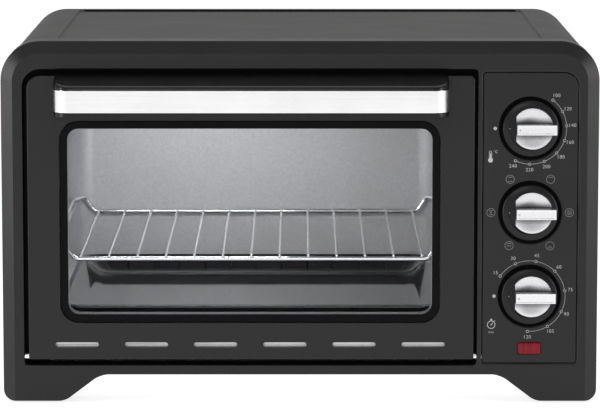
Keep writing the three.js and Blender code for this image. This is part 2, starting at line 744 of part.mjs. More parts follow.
const bodyFront = panel.back + GAP;
const controlBodies = {
  thermostat: (z) => bodyBlock(THERMOSTAT_BODY, bodyFront, z),
  selector: (z) => bodyBlock(SELECTOR_BODY, bodyFront, z),
  timer: (z) => rodAlongY(TIMER_BODY.radius, bodyFront, bodyFront + TIMER_BODY.depth, knobX, z, 28),
};

// ---- Knobs: a dished skirt, a cap with a grip bar, and the shaft that both sit on -------------------
function knobSkirt(z) {
  const bore = SHAFT_R + GAP;
  const profile = [
    [bore, 0],
    [KNOB_R, 0],
    [KNOB_R, KNOB_SKIRT - 1],
    [KNOB_R - 1, KNOB_SKIRT],
    [KNOB_R - 3.2, KNOB_SKIRT - 1],
    [capR + GAP, KNOB_FLOOR],
    [bore, KNOB_FLOOR],
    [bore, 0],
  ];
  return turned(profile, knobX, knobBase, z, 28);
}

function knobCap(z) {
  const base = knobBase - KNOB_FLOOR - GAP;
  const disc = rodAlongY(capR, base - CAP_PLATE, base, knobX, z, 28);
  const left = knobX - capR + CAP_CUT;
  const right = knobX + capR + CAP_BAR_OVERHANG;
  const half = CAP_BAR_WIDTH / 2;
  const beside = block(left - 20, left, base - CAP_PLATE - 1, base + 1, z - 30, z + 30);
  const rim = knobBase - KNOB_SKIRT - 2 * GAP;
  const bar = block(left, right, base - CAP_BAR_HEIGHT, rim, z - half, z + half);
  const stem = block(left, knobX + capR - 1, rim - 1, base - 1, z - half, z + half);
  return joined(cut(disc, beside), bar, stem);
}

KNOBS.forEach((name, i) => {
  const z = knobZ(i);
  const boreEnd = bodyFront + SHAFT_LENGTH - 2;
  const bore = rodAlongY(SHAFT_R + GAP, bodyFront - 1, boreEnd, knobX, z);
  add(oven, `${name}_body`, cut(controlBodies[name](z), bore), FINISH.phenolic);
  const knob = new THREE.Group();
  oven.add(knob);
  const shaft = rodAlongY(SHAFT_R, knobBase - KNOB_FLOOR + GAP, boreEnd - GAP, knobX, z);
  add(knob, `${name}_knob_skirt`, knobSkirt(z), FINISH.glossBlack);
  add(knob, `${name}_knob_cap`, knobCap(z), FINISH.silver);
  add(knob, `${name}_shaft`, shaft, FINISH.steel);
});

// ---- Door ------------------------------------------------------------------------------------------
const doorGroup = new THREE.Group();
oven.add(doorGroup);

function doorShape(inset) {
  const radii = DOOR_RADII.map((radius) => Math.max(radius - inset, 0.5));
  return rectangle(door.left + inset, door.right - inset, door.bottom + inset, door.top - inset, radii);
}

function windowShape(grow) {
  const radius = Math.max(WINDOW_R + grow, 1);
  return rounded(pane.left - grow, pane.right + grow, pane.bottom - grow, pane.top + grow, radius);
}

function slotShapes() {
  const bottom = door.bottom + SLOT_RISE;
  const middle = (pane.left + pane.right) / 2;
  const first = middle - ((SLOT_COUNT - 1) * SLOT_PITCH) / 2;
  const shapes = [];
  for (let count = 0; count < SLOT_COUNT; count += 1) {
    const x = first + count * SLOT_PITCH;
    const ends = [x - SLOT_WIDTH / 2, x + SLOT_WIDTH / 2];
    shapes.push(rounded(...ends, bottom, bottom + SLOT_HEIGHT, SLOT_HEIGHT / 2.1));
  }
  return shapes;
}

const handleTop = door.top + HANDLE_RISE;
const handleBottom = handleTop - HANDLE_HEIGHT;
const handleLeft = door.left + HANDLE_MARGIN.left;
const handleRight = door.right - HANDLE_MARGIN.right;
const screwZ = handleBottom + TRIM_LIP + TRIM_HEIGHT / 2 - 2;
const screwXs = [handleLeft + SCREW_INSET, handleRight - SCREW_INSET];
const plateBack = DOOR_PLATE - DOOR_PROUD;

function doorPanel() {
  const blockBack = door.back - SHEET - 3 * GAP;
  const shell = slab(doorShape(0), -DOOR_PROUD, blockBack);
  const corners = [
    block(door.left, door.left + HINGE_BLOCK[0], 0, blockBack, door.bottom, door.bottom + HINGE_BLOCK[1]),
    block(door.right - HINGE_BLOCK[0], door.right, 0, blockBack, door.bottom, door.bottom + HINGE_BLOCK[1]),
  ];
  const hollow = cut(slab(doorShape(DOOR_FLANGE), plateBack, blockBack + 1), ...corners);
  const boreR = PIN_R + GAP;
  const deep = PIN_LENGTH - DOOR_SIDE_GAP;
  return cut(
    shell,
    hollow,
    slab(windowShape(WINDOW_BORDER + GAP), -DOOR_PROUD - 1, plateBack + 1),
    ...slotShapes().map((shape) => slab(shape, -DOOR_PROUD - 1, plateBack + 1)),
    rodAlongX(boreR, door.left - 1, door.left + deep, hinge.depth, hinge.z),
    rodAlongX(boreR, door.right - deep, door.right + 1, hinge.depth, hinge.z),
    ...screwXs.map((x) => rodAlongY(SCREW_R + GAP, -DOOR_PROUD - 1, plateBack + 1, x, screwZ)),
  );
}

function windowFrame() {
  const back = plateBack;
  const ring = slab(windowShape(WINDOW_BORDER), 0.4, back);
  return cut(ring, slab(windowShape(0), -1, back + 1));
}

function doorLiner() {
  const front = door.back - SHEET - 2 * GAP;
  const sheet = slab(doorShape(0.6), front, front + SHEET);
  return cut(sheet, slab(windowShape(0), front - 1, front + SHEET + 1));
}

const glassFront = plateBack + GAP;
const stripBottom = door.bottom + SLOT_RISE - 0.4;
const stripBack = glassFront + CAVITY_SHEET;
const strip = [door.left + HINGE_BLOCK[0], door.right - HINGE_BLOCK[0]];
const glass = slab(windowShape(WINDOW_BORDER + GLASS_LAP), glassFront, glassFront + GLASS_THICKNESS);
add(doorGroup, "door_panel", doorPanel(), FINISH.satinBlack);
add(doorGroup, "window_frame", windowFrame(), FINISH.glossBlack);
add(doorGroup, "door_glass", glass, FINISH.glass);
const slotBacking = block(...strip, glassFront, stripBack, stripBottom, stripBottom + 8);
add(doorGroup, "slot_backing", slotBacking, FINISH.stainless);
add(doorGroup, "door_liner", doorLiner(), FINISH.steel);

// Each pin stands out of the door's side by its gap and most of the bush.
const pinOut = { left: DOOR_SIDE_GAP + LIP_WALL - 2 * GAP, right: DOOR_RIGHT_GAP + PANEL_GAP - 2 * GAP };
const pinIn = PIN_LENGTH - DOOR_SIDE_GAP - GAP;
const pins = {
  left: [door.left - pinOut.left, door.left + pinIn],
  right: [door.right - pinIn, door.right + pinOut.right],
};
for (const [name, ends] of Object.entries(pins)) {
  add(doorGroup, `hinge_pin_${name}`, rodAlongX(PIN_R, ...ends, hinge.depth, hinge.z), FINISH.chrome);
}

// ---- Handle ----------------------------------------------------------------------------------------
const handleBack = -DOOR_PROUD - GAP;
const trimBottom = handleBottom + TRIM_LIP;
const trimTop = trimBottom + TRIM_HEIGHT;

function handlePlan(inset, back) {
  const radius = HANDLE_R - inset;
  const front = -HANDLE_REACH + inset;
  return rectangle(handleLeft + inset, handleRight - inset, front, back, [radius, radius, 0, 0]);
}

function handleGrip() {
  const frontTop = handleTop - HANDLE_FRONT_DROP;
  const slope = outline([
    [-HANDLE_REACH, frontTop, 0],
    [handleBack, handleTop, 0],
    [handleBack + 5, handleTop + 10, 0],
    [-HANDLE_REACH - 5, handleTop + 10, 0],
    [-HANDLE_REACH - 5, frontTop - 1, 0],
  ]);
  const groove = cut(
    layer(handlePlan(-1, handleBack + 1), trimBottom - GAP, trimTop + GAP),
    layer(handlePlan(TRIM_SHEET + GAP, handleBack + 2), trimBottom - 1, trimTop + 1),
  );
  const shelf = frontTop - HANDLE_SHELF;
  const finger = layer(handlePlan(HANDLE_WALL, handleBack - HANDLE_WALL), handleBottom - 1, shelf);
  return cut(
    layer(handlePlan(0, handleBack), handleBottom, handleTop),
    slice(slope, handleLeft - 1, handleRight + 1),
    groove,
    finger,
    ...screwXs.map((x) => rodAlongY(SCREW_R + GAP, handleBack - HANDLE_WALL - 1, 0, x, screwZ)),
  );
}

function handleTrim() {
  const outer = layer(handlePlan(0, handleBack - GAP), trimBottom, trimTop);
  return cut(outer, layer(handlePlan(TRIM_SHEET, handleBack + 1), trimBottom - 1, trimTop + 1));
}

add(doorGroup, "handle_grip", handleGrip(), FINISH.glossBlack);
add(doorGroup, "handle_trim", handleTrim(), FINISH.stainless);
screwXs.forEach((x, i) => {
  const head = rodAlongY(SCREW_HEAD_R, glassFront, glassFront + SCREW_HEAD, x, screwZ, 20);
  const shank = rodAlongY(SCREW_R, handleBack - HANDLE_WALL + GAP, glassFront + 1, x, screwZ, 12);
  add(doorGroup, `handle_screw_${["left", "right"][i]}`, joined(head, shank), FINISH.steel);
});

// ---- Wire rack -------------------------------------------------------------------------------------
const rackSide = cavityHalf - RACK_SIDE_PLAY - RACK_FRAME_R;
const rackFront = cavity.front + RACK_END_PLAY;
const rackBack = cavity.back - CAVITY_SHEET - RACK_END_PLAY - RACK_FRAME_R;

// The end wire lies low along the rack's straight stretch and climbs to the side wires at both ends.
// The front corners are square, and the rear ones are cut across to clear the cavity's round corners.
function rackEnd(depth, inward, square) {
  const rackStraight = rackSide - RACK_SHOULDER;
  const shoulder = rackSide - RACK_SHOULDER / 2;
  const half = [
    [rackSide, rackSideZ, depth + inward * (CAVITY_CORNER_R + 2)],
    ...(square ? [[rackSide, rackSideZ, depth]] : []),
    [shoulder, rackSideZ, depth],
    [rackStraight, RACK_Z, depth],
  ];
  const point = (side) => ([x, z, d]) => new THREE.Vector3(cavity.x + side * x, at(d), z);
  const points = [...half.map(point(-1)), ...half.map(point(1)).reverse()];
  return wire(points, RACK_FRAME_R, 44);
}

function wireRack() {
  const pieces = [rackEnd(rackFront, 1, true), rackEnd(rackBack, -1, false)];
  for (const side of [-1, 1]) {
    const x = cavity.x + side * rackSide;
    const ends = [rackFront + CAVITY_CORNER_R, rackBack - CAVITY_CORNER_R];
    pieces.push(rodAlongY(RACK_FRAME_R, ...ends, x, rackSideZ, 8));
  }
  const z = RACK_Z + RACK_FRAME_R + RACK_WIRE_R - 0.4;
  for (let count = 0; count < RACK_WIRES; count += 1) {
    const x = cavity.x + (count - (RACK_WIRES - 1) / 2) * RACK_PITCH;
    pieces.push(rodAlongY(RACK_WIRE_R, rackFront - 1.5, rackBack + 3, x, z, 6));
  }
  return joined(...pieces);
}

const rackGroup = new THREE.Group();
oven.add(rackGroup);
add(rackGroup, "wire_rack", wireRack(), FINISH.chrome);

// ---- Baking tray -----------------------------------------------------------------------------------
const trayFront = cavity.front + TRAY_END_PLAY - RACK_FRAME_R;
const trayBack = cavity.back - CAVITY_SHEET - TRAY_END_PLAY;

function trayShape(inset) {
  const half = cavityHalf - TRAY_SIDE_PLAY - inset;
  const radius = TRAY_CORNER_R - inset / 2;
  return rounded(cavity.x - half, cavity.x + half, trayFront + inset, trayBack - inset, radius);
}

// A pan-shaped solid whose walls lean in by TRAY_RUN on the way down.
function pan(shape, bottom, top) {
  const geometry = new THREE.ExtrudeGeometry(shape, { depth: top - bottom, bevelEnabled: false });
  geometry.computeBoundingBox();
  const middle = geometry.boundingBox.getCenter(new THREE.Vector3());
  const size = geometry.boundingBox.getSize(new THREE.Vector3());
  const place = geometry.attributes.position;
  for (let i = 0; i < place.count; i += 1) {
    const lean = place.getZ(i) < size.z / 2 ? 2 * TRAY_RUN : 0;
    place.setX(i, middle.x + (place.getX(i) - middle.x) * (1 - lean / size.x));
    place.setY(i, middle.y + (place.getY(i) - middle.y) * (1 - lean / size.y));
  }
  geometry.translate(0, FRONT_Y, bottom);
  return solid(geometry);
}

function bakingTray() {
  const bottom = TRAY_RIM_Z - TRAY_DEPTH;
  const rim = layer(trayShape(0), TRAY_RIM_Z - TRAY_SHEET, TRAY_RIM_Z);
  const outer = pan(trayShape(TRAY_RIM), bottom, TRAY_RIM_Z - TRAY_SHEET / 2);
  const inside = trayShape(TRAY_RIM + TRAY_SHEET);
  const inner = pan(inside, bottom + TRAY_SHEET, TRAY_RIM_Z - TRAY_SHEET / 2);
  const mouth = layer(inside, TRAY_RIM_Z - TRAY_SHEET / 2 - 0.01, TRAY_RIM_Z + 1);
  return cut(joined(rim, outer), inner, mouth);
}

const trayGroup = new THREE.Group();
oven.add(trayGroup);
add(trayGroup, "baking_tray", bakingTray(), FINISH.enamel);

export default oven;
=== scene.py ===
import json
import math
from collections import namedtuple

import bmesh
import bpy
from bpy.props import FloatProperty, FloatVectorProperty, PointerProperty
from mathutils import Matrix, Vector


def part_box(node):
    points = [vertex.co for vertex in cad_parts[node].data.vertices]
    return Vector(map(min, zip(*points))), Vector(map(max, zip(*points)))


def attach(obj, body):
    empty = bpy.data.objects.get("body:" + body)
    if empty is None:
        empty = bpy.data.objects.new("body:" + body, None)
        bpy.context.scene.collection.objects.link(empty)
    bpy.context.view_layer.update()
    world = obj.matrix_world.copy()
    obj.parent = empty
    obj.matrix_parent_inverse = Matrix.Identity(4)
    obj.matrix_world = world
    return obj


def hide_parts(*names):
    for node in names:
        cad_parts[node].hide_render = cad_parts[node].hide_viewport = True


bl_info = {
    "name": "Toaster Oven",
    "version": (1, 0, 0),
    "blender": (4, 5, 0),
    "location": "View3D > Sidebar > Oven",
    "description": "Models a benchtop toaster oven around its packed frame, with a plain studio",
    "category": "Object",
}

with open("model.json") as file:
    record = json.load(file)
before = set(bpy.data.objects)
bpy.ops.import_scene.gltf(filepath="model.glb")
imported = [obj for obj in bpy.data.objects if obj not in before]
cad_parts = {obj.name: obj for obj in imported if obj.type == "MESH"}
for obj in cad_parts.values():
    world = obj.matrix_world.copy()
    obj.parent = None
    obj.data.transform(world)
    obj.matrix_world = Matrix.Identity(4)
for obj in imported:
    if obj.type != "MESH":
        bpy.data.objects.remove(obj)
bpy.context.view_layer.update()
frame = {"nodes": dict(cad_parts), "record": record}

MM = 0.001
CLEAR = 0.3 * MM  # kept wherever two pieces touch
NEAR = 0.02 * MM  # two places closer than this are the same
AXES = (Vector((1, 0, 0)), Vector((0, 1, 0)), Vector((0, 0, 1)))

Place = namedtuple("Place", "left right front back bottom top")


# ---- Places, all taken from the frame --------------------------------------------------------------
def place_of(node):
    low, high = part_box(node)
    return Place(low[0], high[0], low[1], high[1], low[2], high[2])


def grown(place, by):
    """The same place seen from the front, grown to all four sides."""
    return place._replace(
        left=place.left - by,
        right=place.right + by,
        bottom=place.bottom - by,
        top=place.top + by,
    )


def middle(place):
    low = Vector((place.left, place.front, place.bottom))
    high = Vector((place.right, place.back, place.top))
    return (low + high) / 2


WHOLE = place_of("front_frame")
DOOR = place_of("door_panel")
BORDER = place_of("window_frame")
PANEL = grown(place_of("control_panel"), CLEAR)
CAVITY = place_of("cavity_wrap")
CASING = place_of("outer_casing")
FACE = WHOLE.front  # the plane of the front frame's face

OPENING_GAP = {"left": 3.4 * MM, "right": 2.3 * MM, "bottom": 4.5 * MM, "top": 5 * MM}
OPENING = Place(
    DOOR.left - OPENING_GAP["left"],
    DOOR.right + OPENING_GAP["right"],
    FACE,
    FACE + 16 * MM,
    DOOR.bottom - OPENING_GAP["bottom"],
    DOOR.top + OPENING_GAP["top"],
)
WINDOW_BORDER = 6.2 * MM
PANE = grown(BORDER, -WINDOW_BORDER)
KNOBS = ("thermostat", "selector", "timer")


# ---- Modelling by operators ------------------------------------------------------------------------
def deselect():
    if bpy.context.mode != "OBJECT":
        bpy.ops.object.mode_set(mode="OBJECT")
    bpy.ops.object.select_all(action="DESELECT")


def only(piece):
    deselect()
    piece.select_set(True)
    bpy.context.view_layer.objects.active = piece


def settle():
    """Moves the new object's place into its mesh."""
    bpy.ops.object.transform_apply(location=True, rotation=True, scale=True)
    return bpy.context.object


def edit(piece):
    only(piece)
    bpy.ops.object.mode_set(mode="EDIT")
    bpy.ops.mesh.select_mode(type="VERT")


def pick(piece, kind, test):
    """Selects the vertices, edges or faces that pass a test, in edit mode."""
    bpy.ops.mesh.select_mode(type=kind)
    bpy.ops.mesh.select_all(action="DESELECT")
    mesh = bmesh.from_edit_mesh(piece.data)
    parts = {"VERT": mesh.verts, "EDGE": mesh.edges, "FACE": mesh.faces}[kind]
    for part in parts:
        if test(part):
            part.select_set(True)
    mesh.select_flush_mode()
    bmesh.update_edit_mesh(piece.data)


def near(a, b):
    return abs(a - b) < NEAR


def along(axis, **at):
    """A test for edges that run along an axis at a place given by x, y or z."""
    wanted = [("xyz".index(key), value) for key, value in at.items()]

    def test(edge):
        for vert in edge.verts:
            if any(not near(vert.co[i], value) for i, value in wanted):
                return False
        a, b = edge.verts
        return not near(a.co[axis], b.co[axis])

    return test


def facing(axis, sign, at=None):
    """A test for faces that look along an axis."""

    def test(face):
        if face.normal[axis] * sign < 0.99:
            return False
        return at is None or near(face.calc_center_median()[axis], at)

    return test


def block(place):
    """A box to start a piece from, with its place in its mesh."""
    deselect()
    size = (place.right - place.left, place.back - place.front, place.top - place.bottom)
    bpy.ops.mesh.primitive_cube_add(size=1, location=middle(place), scale=size)
    return settle()


def bevel(offset, segments, affect="EDGES", profile=0.5):
    bpy.ops.mesh.bevel(
        offset=offset,
        segments=segments,
        profile=profile,
        affect=affect,
        clamp_overlap=False,
    )


def slab(place, radii, axis=1, segments=10):
    """A box with the four edges along one axis rounded: low low, high low, high high, low high."""
    piece = block(place)
    lows = (place.left, place.front, place.bottom)
    highs = (place.right, place.back, place.top)
    u, v = [i for i in range(3) if i != axis]
    corners = ((lows[u], lows[v]), (highs[u], lows[v]), (highs[u], highs[v]), (lows[u], highs[v]))
    edit(piece)
    for (a, b), radius in zip(corners, radii):
        if radius > 0:
            pick(piece, "EDGE", along(axis, **{"xyz"[u]: a, "xyz"[v]: b}))
            bevel(radius, segments)
    only(piece)
    return piece


def rounded(place, radius, axis=1, segments=8):
    return slab(place, [radius] * 4, axis, segments)


def turned(profile, centre, axis, sides=64, closed=False):
    """A piece drawn out ring by ring along an axis: profile is [radius, distance along it]."""
    deselect()
    radius, reach = profile[0]
    lean = {0: (0, math.pi / 2, 0), 1: (math.pi / 2, 0, 0), 2: (0, 0, 0)}[axis]
    bpy.ops.mesh.primitive_circle_add(
        vertices=sides,
        radius=radius,
        location=Vector(centre) + AXES[axis] * reach,
        rotation=lean,
    )
    piece = settle()
    edit(piece)
    bpy.ops.mesh.select_all(action="SELECT")
    if not closed:
        bpy.ops.mesh.edge_face_add()
    for next_radius, next_reach in profile[1:]:
        step = AXES[axis] * (next_reach - reach)
        bpy.ops.mesh.extrude_region_move(TRANSFORM_OT_translate={"value": step})
        size = [next_radius / radius] * 3
        size[axis] = 1
        bpy.ops.transform.resize(value=size, center_override=centre)
        radius, reach = next_radius, next_reach
    bpy.ops.mesh.select_all(action="SELECT")
    bpy.ops.mesh.remove_doubles(threshold=NEAR)
    bpy.ops.mesh.normals_make_consistent(inside=False)
    only(piece)
    return piece


def chain(points, closed=False):
    """A line of edges through points."""
    deselect()
    bpy.ops.mesh.primitive_plane_add(size=MM, location=points[0])
    piece = settle()
    edit(piece)
    bpy.ops.mesh.select_all(action="SELECT")
    bpy.ops.mesh.merge(type="CENTER")
    for last, point in zip(points, points[1:]):
        step = Vector(point) - Vector(last)
        bpy.ops.mesh.extrude_region_move(TRANSFORM_OT_translate={"value": step})
    if closed:
        bpy.ops.mesh.select_all(action="SELECT")
        bpy.ops.mesh.edge_face_add()
    only(piece)
    return piece


def bent(points, bend, steps=6):
    """A closed line through points, with a bend in place of each corner."""
    line = []
    count = len(points)
    for i, point in enumerate(points):
        corner = Vector(point)
        enter = corner + (Vector(points[i - 1]) - corner).normalized() * bend
        leave = corner + (Vector(points[(i + 1) % count]) - corner).normalized() * bend
        for step in range(steps + 1):
            t = step / steps
            line.append(enter * (1 - t) ** 2 + corner * 2 * t * (1 - t) + leave * t**2)
    return line


def wire_loop(points, radius, bend):
    """A round wire bent into a closed loop through points."""
    line = bent(points, bend)
    piece = chain(line)
    edit(piece)
    ends = (line[0], line[-1])
    pick(piece, "VERT", lambda vert: any((vert.co - end).length < NEAR for end in ends))
    bpy.ops.mesh.edge_face_add()
    only(piece)
    bpy.ops.object.convert(target="CURVE")
    curve = bpy.context.object
    curve.data.bevel_depth = radius
    curve.data.bevel_resolution = 3
    bpy.ops.object.convert(target="MESH")
    return bpy.context.object


def copied(piece, *shifts):
    """Copies of a piece, each with its own mesh, moved by each shift."""
    copies = []
    for shift in shifts:
        only(piece)
        bpy.ops.object.duplicate(linked=False)
        bpy.context.object.location = Vector(shift)
        copies.append(settle())
    return copies


def row(piece, axis, pitch, count):
    """The piece and its copies in a row, as one list."""
    return [piece] + copied(piece, *[AXES[axis] * pitch * step for step in range(1, count)])


def merged(*pieces):
    only(pieces[0])
    for piece in pieces[1:]:
        piece.select_set(True)
    bpy.ops.object.join()
    return bpy.context.object


def boolean(piece, tool, operation):
    only(piece)
    bpy.ops.object.modifier_add(type="BOOLEAN")
    modifier = piece.modifiers[-1]
    modifier.operation = operation
    modifier.solver = "EXACT"
    modifier.object = tool
    bpy.ops.object.modifier_apply(modifier=modifier.name)
    only(tool)
    bpy.ops.object.delete()
    only(piece)


def cut(piece, *tools):
    for tool in tools:
        boolean(piece, tool, "DIFFERENCE")
    return piece


def united(piece, *others):
    for other in others:
        boolean(piece, other, "UNION")
    return piece


def soften(piece, width, segments=2, angle=30):
    """Rounds the sharp edges."""
    only(piece)
    bpy.ops.object.modifier_add(type="BEVEL")
    modifier = piece.modifiers[-1]
    modifier.width = width
    modifier.segments = segments
    modifier.limit_method = "ANGLE"
    modifier.angle_limit = math.radians(angle)
    modifier.miter_outer = "MITER_ARC"
    bpy.ops.object.modifier_apply(modifier=modifier.name)
    return piece


def thicken(piece, thickness, offset):
    only(piece)
    bpy.ops.object.modifier_add(type="SOLIDIFY")
    modifier = piece.modifiers[-1]
    modifier.thickness = thickness
    modifier.offset = offset
    bpy.ops.object.modifier_apply(modifier=modifier.name)
    return piece


def clean(piece):
    edit(piece)
    bpy.ops.mesh.select_all(action="SELECT")
    bpy.ops.mesh.remove_doubles(threshold=0.002 * MM)
    bpy.ops.mesh.normals_make_consistent(inside=False)
    only(piece)
    return piece


def finished(piece, name, body, finish, replaced=(), smooth=32):
    """Names a piece, shades it, gives it its finish and fixes it to its body."""
    only(piece)
    bpy.ops.object.shade_smooth_by_angle(angle=math.radians(smooth))
    bpy.ops.object.modifier_add(type="WEIGHTED_NORMAL")
    piece.modifiers[-1].keep_sharp = True
    bpy.ops.object.modifier_apply(modifier=piece.modifiers[-1].name)
    piece.name = name
    piece.data.name = name
    piece.data.materials.clear()
    piece.data.materials.append(FINISHES[finish])
    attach(piece, body)
    if replaced:
        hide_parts(*replaced)
    return piece


def disc(radius, centre, axis, thickness, sides=48):
    """A round plate or tool, from its centre on along an axis."""
    return turned([(radius, 0), (radius, thickness)], centre, axis, sides)


def washer(outer, inner, centre, thickness, sides=28):
    """A flat ring that faces the front, its front face at its centre's place."""
    profile = [(inner, 0), (outer, 0), (outer, thickness), (inner, thickness), (inner, 0)]
    return turned(profile, centre, 1, sides, closed=True)


# ---- Finishes --------------------------------------------------------------------------------------
FINISHES = {}
TABLE_GLOW = 0.8
AIR_GLOW = 0.45


class Value:
    """A shader socket that sums and products can be written with."""

    def __init__(self, tree, socket):
        self.tree = tree
        self.socket = socket

    def math(self, operation, *terms):
        node = self.tree.nodes.new("ShaderNodeMath")
        node.operation = operation
        for place, term in zip(node.inputs, terms):
            if isinstance(term, Value):
                self.tree.links.new(term.socket, place)
            else:
                place.default_value = term
        return Value(self.tree, node.outputs[0])

    def __add__(self, other):
        return self.math("ADD", self, other)

    __radd__ = __add__

    def __sub__(self, other):
        return self.math("SUBTRACT", self, other)

    def __rsub__(self, other):
        return self.math("SUBTRACT", other, self)

    def __mul__(self, other):
        return self.math("MULTIPLY", self, other)

    __rmul__ = __mul__


class Finish:
    """One material, from its shader's own sockets up."""

    def __init__(self, name, **sockets):
        self.material = bpy.data.materials.new(name)
        self.material.use_nodes = True
        self.tree = self.material.node_tree
        self.shader = self.tree.nodes["Principled BSDF"]
        for socket, value in sockets.items():
            self.shader.inputs[socket.replace("_", " ")].default_value = value
        FINISHES[name] = self.material

    def node(self, kind, settings=None, **sockets):
        node = self.tree.nodes.new(kind)
        for key, value in (settings or {}).items():
            setattr(node, key, value)
        for socket, value in sockets.items():
            place = node.inputs[socket.replace("_", " ")]
            if isinstance(value, Value):
                self.tree.links.new(value.socket, place)
            else:
                place.default_value = value
        return node

    def value(self, node, output=0):
        return Value(self.tree, node.outputs[output])

    def coordinates(self, scale=(1, 1, 1)):
        where = self.value(self.node("ShaderNodeTexCoord"), "Object")
        return self.value(self.node("ShaderNodeMapping", Vector=where, Scale=scale))

    def noise(self, scale, detail=3.0, roughness=0.5, stretch=(1, 1, 1)):
        where = self.coordinates(stretch)
        node = self.node(
            "ShaderNodeTexNoise",
            Vector=where,
            Scale=scale,
            Detail=detail,
            Roughness=roughness,
        )
        return self.value(node, "Fac")

    def spread(self, value, low, high, from_low=0.3, from_high=0.7):
        """A value drawn out from one range to another."""
        node = self.node("ShaderNodeMapRange")
        self.tree.links.new(value.socket, node.inputs["Value"])
        node.inputs["From Min"].default_value = from_low
        node.inputs["From Max"].default_value = from_high
        node.inputs["To Min"].default_value = low
        node.inputs["To Max"].default_value = high
        return self.value(node)

    def mixed(self, factor, first, second, blend="MIX"):
        """Two colours mixed by a factor."""
        node = self.tree.nodes.new("ShaderNodeMix")
        node.data_type = "RGBA"
        node.blend_type = blend
        for index, value in ((0, factor), (6, first), (7, second)):
            if isinstance(value, Value):
                self.tree.links.new(value.socket, node.inputs[index])
            else:
                node.inputs[index].default_value = value
        return Value(self.tree, node.outputs[2])

    def feed(self, socket, value):
        self.tree.links.new(value.socket, self.shader.inputs[socket])

    def bump(self, height, distance, strength=1.0):
        node = self.node(
            "ShaderNodeBump", Height=height, Distance=distance, Strength=strength
        )
        self.feed("Normal", self.value(node))


def shade(colour, factor):
    """A colour made lighter or darker, as red, green, blue and alpha."""
    return tuple(min(1.0, channel * factor) for channel in colour[:3]) + (1.0,)


def moulded(name, colour, roughness, grain, depth, gloss=0.5, contrast=0.14):
    """Moulded plastic: fine grain, slow colour drift and a little dust in the roughness."""
    finish = Finish(name, Roughness=roughness, Specular_IOR_Level=gloss)
    drift = finish.noise(22, 4)
    dust = finish.noise(160, 5, 0.7)
    tones = shade(colour, 1 - contrast), shade(colour, 1 + contrast)
    tone = finish.mixed(finish.spread(drift, 0, 1), *tones)
    specks = finish.spread(dust, 0, 0.35, 0.58, 0.78)
    finish.feed("Base Color", finish.mixed(specks, tone, shade(colour, 1 + 5 * contrast)))
    rough = finish.spread(drift, roughness - 0.04, roughness + 0.04)
    finish.feed("Roughness", rough + 0.12 * specks)
    finish.bump(finish.noise(grain, 2), depth, 0.5)
    return finish


def sheet_metal(name, colour, roughness, stretch, metallic=1.0, contrast=0.16, depth=0.01):
    """Drawn or brushed metal: streaks along one axis, faint smudges and a fine bump."""
    finish = Finish(name, Metallic=metallic, Roughness=roughness)
    streaks = finish.noise(1, 3, 0.65, stretch)
    smudge = finish.noise(30, 4)
    tone = finish.mixed(
        finish.spread(streaks, 0, 1), shade(colour, 1 - contrast), shade(colour, 1 + contrast)
    )
    finish.feed("Base Color", tone)
    rough = finish.spread(smudge, roughness - 0.05, roughness + 0.07)
    finish.feed("Roughness", rough + 0.08 * streaks - 0.04)
    finish.bump(streaks, depth * MM, 0.4)
    return finish


def painted(name, colour, roughness, gloss):
    """Sprayed paint on sheet steel: orange peel, drift and tiny pits."""
    finish = Finish(name, Roughness=roughness, Specular_IOR_Level=gloss)
    peel = finish.noise(900, 2)
    drift = finish.noise(14, 4)
    pits = finish.spread(finish.noise(2600, 1), 0, 1, 0.62, 0.72)
    tone = finish.mixed(finish.spread(drift, 0, 1), shade(colour, 0.9), shade(colour, 1.1))
    finish.feed("Base Color", finish.mixed(0.4 * pits, tone, shade(colour, 1.9)))
    finish.feed("Roughness", finish.spread(drift, roughness - 0.05, roughness + 0.05))
    finish.bump(peel, 0.03 * MM, 0.35)
    return finish


def spangled(name, colour, roughness):
    """Aluminised steel: crystal spangle, faint rolling streaks and heat stain."""
    finish = Finish(name, Metallic=0.35, Roughness=roughness)
    cells = finish.node("ShaderNodeTexVoronoi", Vector=finish.coordinates(), Scale=620)
    crystal = finish.node("ShaderNodeSeparateColor", Color=finish.value(cells, "Color"))
    facet = finish.value(crystal, 0)
    stain = finish.noise(9, 4)
    flow = finish.noise(1, 3, 0.6, (18, 18, 500))
    tone = finish.mixed(finish.spread(facet, 0, 1, 0, 1), shade(colour, 0.94), shade(colour, 1.06))
    warm = (colour[0] * 0.86, colour[1] * 0.82, colour[2] * 0.76, 1)
    finish.feed("Base Color", finish.mixed(finish.spread(stain, 0, 0.5, 0.55, 0.8), tone, warm))
    finish.feed("Roughness", finish.spread(facet, roughness - 0.04, roughness + 0.04, 0, 1))
    finish.bump(facet * 0.4 + flow * 0.6, 0.01 * MM, 0.2)
    return finish


def glossy(name, colour, roughness, wave, gloss, coat=0.0):
    """Gloss plastic or enamel: deep and dark, with a slight waviness and fine dust."""
    sockets = {"Specular_IOR_Level": gloss, "Coat_Weight": coat, "Coat_Roughness": 0.04}
    finish = Finish(name, Roughness=roughness, **sockets)
    ripple = finish.noise(60, 2)
    dust = finish.spread(finish.noise(1500, 2), 0, 1, 0.66, 0.74)
    drift = finish.spread(finish.noise(18, 3), 0, 1)
    tone = finish.mixed(drift, shade(colour, 0.85), shade(colour, 1.15))
    finish.feed("Base Color", finish.mixed(dust * 0.3, tone, (0.06, 0.06, 0.06, 1)))
    finish.feed("Roughness", dust * 0.2 + finish.spread(ripple, roughness, roughness + 0.05))
    finish.bump(ripple, wave * MM, 0.3)
    return finish


